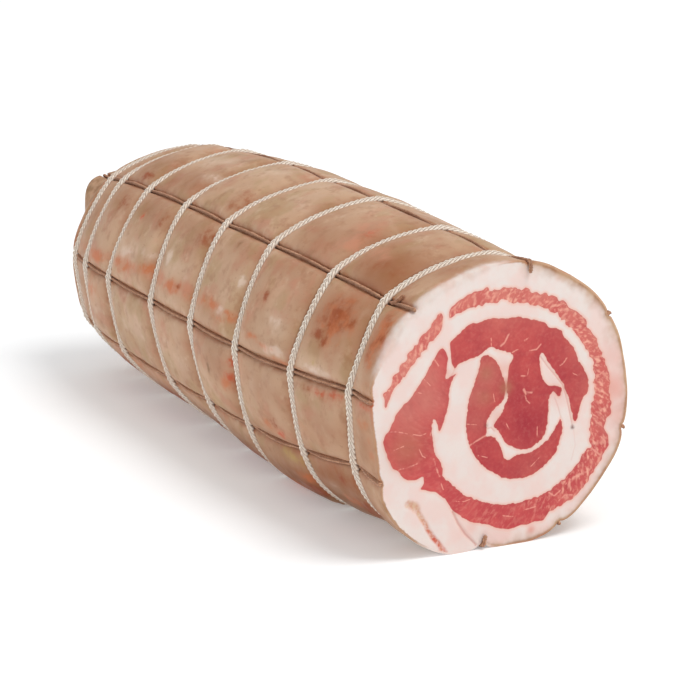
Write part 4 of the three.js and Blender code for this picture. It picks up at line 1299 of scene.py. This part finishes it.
def skin_colour(look):
    base = look.blend(look.patches(34, 0.4, 0.6), *RIND)
    base = look.cloud(base, ROSY, 17, 0.5, 0.66, 0.6)
    olive = look.ramp(look.noise(21, 3.0, look.stretched(look.place, 1, -1, 1)), 0.5, 0.64, 0.0, 0.6)
    base = look.blend(olive, base, GREENISH)
    base = look.cloud(base, WAXY, 10, 0.44, 0.28, 0.4)
    # Broad tones, with painted sheen in light and painted shade of the underside in dark
    for name, most, tone in SKIN_TONES:
        base = look.tint(base, name, most, tone)
    base = look.cloud(base, BLOTCH, 7.5, 0.5, 0.7, 0.4)
    # Stains, and the painted highlights of the pale kind
    for name, tint, size, most in SKIN_TINTS:
        base = look.blend(patchy(look, look.field(name), size, most), base, tint)
    base = look.cloud(base, FRECKLE, 1.5, 0.66, 0.76, 0.3, 2.0, 0.5)
    # Painted shade: the skin darkens in broken patches towards each hoop, and a painted shadow line runs
    # along the twine's edge
    to_hoop = look.field("to_hoop")
    border = look.patches(12, 0.35, 0.65, 0.2, 0.5, 2.0)
    painted_shade_near_hoop = look.math("MULTIPLY", look.ramp(to_hoop, 1.6, 8.0, 1.0, 0.0), border)
    base = look.blend(painted_shade_near_hoop, base, PAINTED_SHADE_BESIDE_HOOP)
    base = look.blend(look.ramp(to_hoop, 2.1, 3.5, 0.6, 0.0), base, PAINTED_SHADOW_AT_HOOP)
    # Painted shade: the skin darkens in broken patches beside each string, and a painted shadow line runs
    # along its edge
    to_string = look.field("to_string")
    broken = look.patches(7, 0.4, 0.6, 0.15, 0.7)
    beside = look.math("MULTIPLY", look.ramp(to_string, 1.0, 4.6, 1.0, 0.0), broken)
    base = look.blend(beside, base, PAINTED_SHADE_BESIDE_STRING)
    ragged = look.math("ADD", to_string, look.patches(1.2, 0.3, 0.7, -0.5, 0.5))
    return look.blend(look.ramp(ragged, 0.8, 1.8, 0.3, 0.0), base, PAINTED_SHADOW_AT_STRING)


def fat_colour(look):
    base = look.blend(look.patches(16, 0.38, 0.62), *FAT)
    base = look.cloud(base, FAT_FINE, 2.4, 0.45, 0.75, 0.2)
    beside_lean = look.ramp(look.field("edge_mm"), 0.0, 1.7, 0.75, 0.0)
    base = look.blend(beside_lean, base, BESIDE_LEAN)
    base = look.tint(base, "blush", 0.8, BLUSH)
    # Lines in the fat; at the flap's edge their colour is partly painted shade
    base = look.tint(base, "crack", 1.0, CRACK)
    seam = look.blend(look.field("seam_red"), *SEAM)
    seam = look.cloud(seam, SEAM_PATCH, 2.2, 0.42, 0.6, 0.7, 3.0, 0.5)
    seam_shows = look.patches(1.9, 0.34, 0.58, 0.5, 0.95, 2.0)
    base = look.tint(base, "seam", seam_shows, seam)
    base = look.tint(base, "contact", 0.9, CONTACT)
    return look.tint(base, "speck", 1.0, FAT_SPECK)


def roll_material():
    look = Look("rind_and_fat")
    stray = look.patches(4.0, 0.3, 0.7, -0.06, 0.06, 2.0)
    rind = look.ramp(look.math("ADD", look.field("rind"), stray, True), 0.06, 0.9)
    rim_tint = look.blend(look.patches(9, 0.4, 0.6, detail=2.0), *RIM_TINTS)
    skin = look.tint(skin_colour(look), "cut", 1.0, rim_tint)
    skin = look.tint(skin, "end_fat", 0.35, END_TINT)
    base = look.blend(rind, fat_colour(look), skin)
    rough = look.patches(7, 0.3, 0.7, 0.36, 0.52)
    pores = look.bump(look.noise(1.1, 3.0, rough=0.6), 0.1, 0.5)
    lines = look.noise(3.2, 3.0, look.stretched(look.place, 1, 0.6, 0.6))
    return look.finish(Base_Color=base, Roughness=rough, Normal=look.bump(lines, 0.2, 0.2, Normal=pores),
                       Subsurface_Weight=0.12, Subsurface_Radius=(1.0, 0.55, 0.4), Subsurface_Scale=0.002,
                       Coat_Weight=0.02, Coat_Roughness=0.25, IOR=1.42, Specular_IOR_Level=0.14)


# Tints of the lean: kind, colour and most strength
LEAN_TINTS = [
    ("deep", (165, 47, 57), 0.9), ("tan", (193, 104, 93), 0.85), ("salmon", (216, 127, 112), 0.85),
    ("olive", (172, 108, 82), 0.8), ("dusty", (200, 116, 104), 0.9),
]


def lean_material(name, bright, dark):
    look = Look(name)
    grain = look.field("grain", "Vector")
    base = look.blend(look.patches(9, 0.38, 0.62), bright, dark)
    for kind, tint, most in LEAN_TINTS:
        base = look.tint(base, kind, most, tint)
    bundles = look.noise(2.4, 3.0, grain)
    base = look.blend(look.ramp(bundles, 0.5, 0.75, 0.0, 0.35), base, look.blend(0.35, base, BUNDLE))
    streak = look.math("MULTIPLY", look.field("streak"), look.patches(8, 0.38, 0.62, 0.5, 1.0, 2.0))
    gaps = look.ramp(look.noise(2.0, 1.5, grain), 0.46, 0.7)
    base = look.blend(look.math("MULTIPLY", gaps, look.math("MULTIPLY", streak, 0.85)), base, PALE_LEAN)
    specks = look.patches(1.8, 0.52, 0.68, 0.0, 0.4, 2.0, 0.6)
    base = look.blend(look.math("MULTIPLY", specks, streak), base, PALE_LEAN)
    vein = look.math("MULTIPLY", look.field("vein"), look.patches(2.2, 0.35, 0.6, 0.3, 1.0, 2.0))
    base = look.blend(look.ramp(vein, 0.1, 0.8, 0.0, 0.85), base, VEIN)
    base = look.blend(look.ramp(look.field("edge_mm"), 0.0, 0.5, 0.35, 0.0), base, LEAN_EDGE)
    base = look.tint(base, "speck", 1.0, LEAN_SPECK)
    rough = look.patches(4, 0.3, 0.7, 0.42, 0.54)
    return look.finish(Base_Color=base, Roughness=rough, Normal=look.bump(bundles, 0.2, 0.45),
                       Subsurface_Weight=0.1, Subsurface_Radius=(1.0, 0.35, 0.25),
                       Subsurface_Scale=0.0018, IOR=1.4, Specular_IOR_Level=0.35)


def twine_material(name, light, dark, gap, painted_crevice_shade):
    look = Look(name)
    thread = look.field("thread", "Vector")
    fibres = look.noise(1000, 3.0, look.stretched(thread, 0.5, 1.4, 3.1), 0.65, 0.4)
    base = look.blend(look.ramp(fibres, 0.35, 0.7), light, dark)
    base = look.cloud(base, dark, 13, 0.42, 0.68, 0.4, 3.0, 0.5)
    # Painted shade in the crevices: each strand darkens to the gap colour over one half of its section
    outward = look.math("COSINE", look.run("ShaderNodeSeparateXYZ", {0: thread}, "Y"))
    base = look.blend(look.ramp(outward, 0.3, -0.3, 0.0, painted_crevice_shade), base, gap)
    return look.finish(Base_Color=base, Roughness=0.85, Normal=look.bump(fibres, 0.25, 0.8),
                       Sheen_Weight=0.12, Sheen_Roughness=0.5)


# Stage, light and camera

# The floor glows far from the object, as a light table does, so that it is as white as the background.
# Nearer the object it glows less, and this glow lightens the object's shadows
FLOOR_GLOW = 0.45
GLOW_NEAR = 0.2
GLOW_STARTS = 0.25
GLOW_FULL = 1.6
SKY_LIGHT = 0.6
FLOOR_GLOW_COLOUR = (0.88, 0.95, 1, 1)
FLOOR_SIDE = 24.0

# Lamps: name, place, what it is aimed at, size and power
LAMPS = [
    ("key", (0.95, 0.55, 2.15), (0.0, 0.0, 0.06), 1.2, 26),
    ("sheen", (-1.5, -1.3, 0.8), (0.0, 0.0, 0.07), 1.0, 3),
]


def build_stage():
    half = FLOOR_SIDE / 2
    corners = [(-half, -half, 0), (half, -half, 0), (half, half, 0), (-half, half, 0)]
    mesh = bpy.data.meshes.new("floor")
    mesh.from_pydata(corners, [], [[0, 1, 2, 3]])
    floor = bpy.data.objects.new("floor", mesh)
    bpy.context.scene.collection.objects.link(floor)
    look = Look("pale_floor")
    base = look.blend(look.patches(400, 0.3, 0.7, detail=2.0), (248, 248, 248), (252, 252, 252))
    away = look.run("ShaderNodeVectorMath", {0: look.place}, "Value", operation="LENGTH")
    glow = look.ramp(away, GLOW_STARTS, GLOW_FULL, GLOW_NEAR, FLOOR_GLOW)
    mesh.materials.append(look.finish(Base_Color=base, Roughness=0.9, Specular_IOR_Level=0.1,
                                      Emission_Color=FLOOR_GLOW_COLOUR, Emission_Strength=glow))

    world = bpy.data.worlds.new("studio")
    bpy.context.scene.world = world
    world.use_nodes = True
    background = world.node_tree.nodes["Background"]
    background.inputs["Color"].default_value = (1.0, 1.0, 1.0, 1.0)
    background.inputs["Strength"].default_value = SKY_LIGHT

    for name, at, towards, size, power in LAMPS:
        lamp = bpy.data.lights.new(name, "AREA")
        lamp.shape = "DISK"
        lamp.size = size
        lamp.energy = power
        thing = bpy.data.objects.new(name, lamp)
        bpy.context.scene.collection.objects.link(thing)
        thing.location = at
        aim = np.array(towards) - np.array(at)
        tilt = math.atan2(aim[2], math.hypot(aim[0], aim[1]))
        thing.rotation_euler = (math.pi / 2 + tilt, 0, math.atan2(-aim[0], aim[1]))
    bpy.context.scene.view_settings.view_transform = "Standard"


# Camera fitted to the photo
CAMERA_AT = (1.1518, -0.5533, 0.3804)
CAMERA_AZIMUTH = 63.326
CAMERA_ELEVATION = 14.571
FOCAL_PIXELS = 2400
IMAGE_PIXELS = 700
SENSOR = 36.0


def build_camera():
    camera = bpy.data.cameras.new("camera")
    camera.sensor_width = SENSOR
    camera.lens = SENSOR * FOCAL_PIXELS / IMAGE_PIXELS
    thing = bpy.data.objects.new("camera", camera)
    thing.location = CAMERA_AT
    thing.rotation_euler = (math.radians(90 - CAMERA_ELEVATION), 0, math.radians(CAMERA_AZIMUTH))
    bpy.context.scene.collection.objects.link(thing)
    bpy.context.scene.camera = thing


def dress(piece, material, node):
    piece.data.materials.append(material)
    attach(piece, "root")
    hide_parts(node)


build_camera()
build_stage()

roll, lean_pieces, end_places, end_rim = build_roll_and_lean()
dress(roll, roll_material(), "belly_roll")

lean_looks = {
    "outer_lean": lean_material("outer_lean", *OUTER_LEAN),
    "inner_lean": lean_material("inner_lean", *INNER_LEAN),
}
for name, piece in lean_pieces.items():
    slot = name.rsplit("_", 1)[0]
    dress(piece, lean_looks[slot], name)

twine_look = twine_material("twine", *TWINE, 0.66)
for number in range(1, len(HOOPS) + 1):
    dress(hoop_piece(number), twine_look, f"twine_hoop_{number}")

string_look = twine_material("stained_string", *STRING, 0.52)
for layer in range(CELLS // 2):
    piece = string_piece(layer, end_places, end_rim)
    dress(piece, string_look, f"long_string_{layer + 1}")
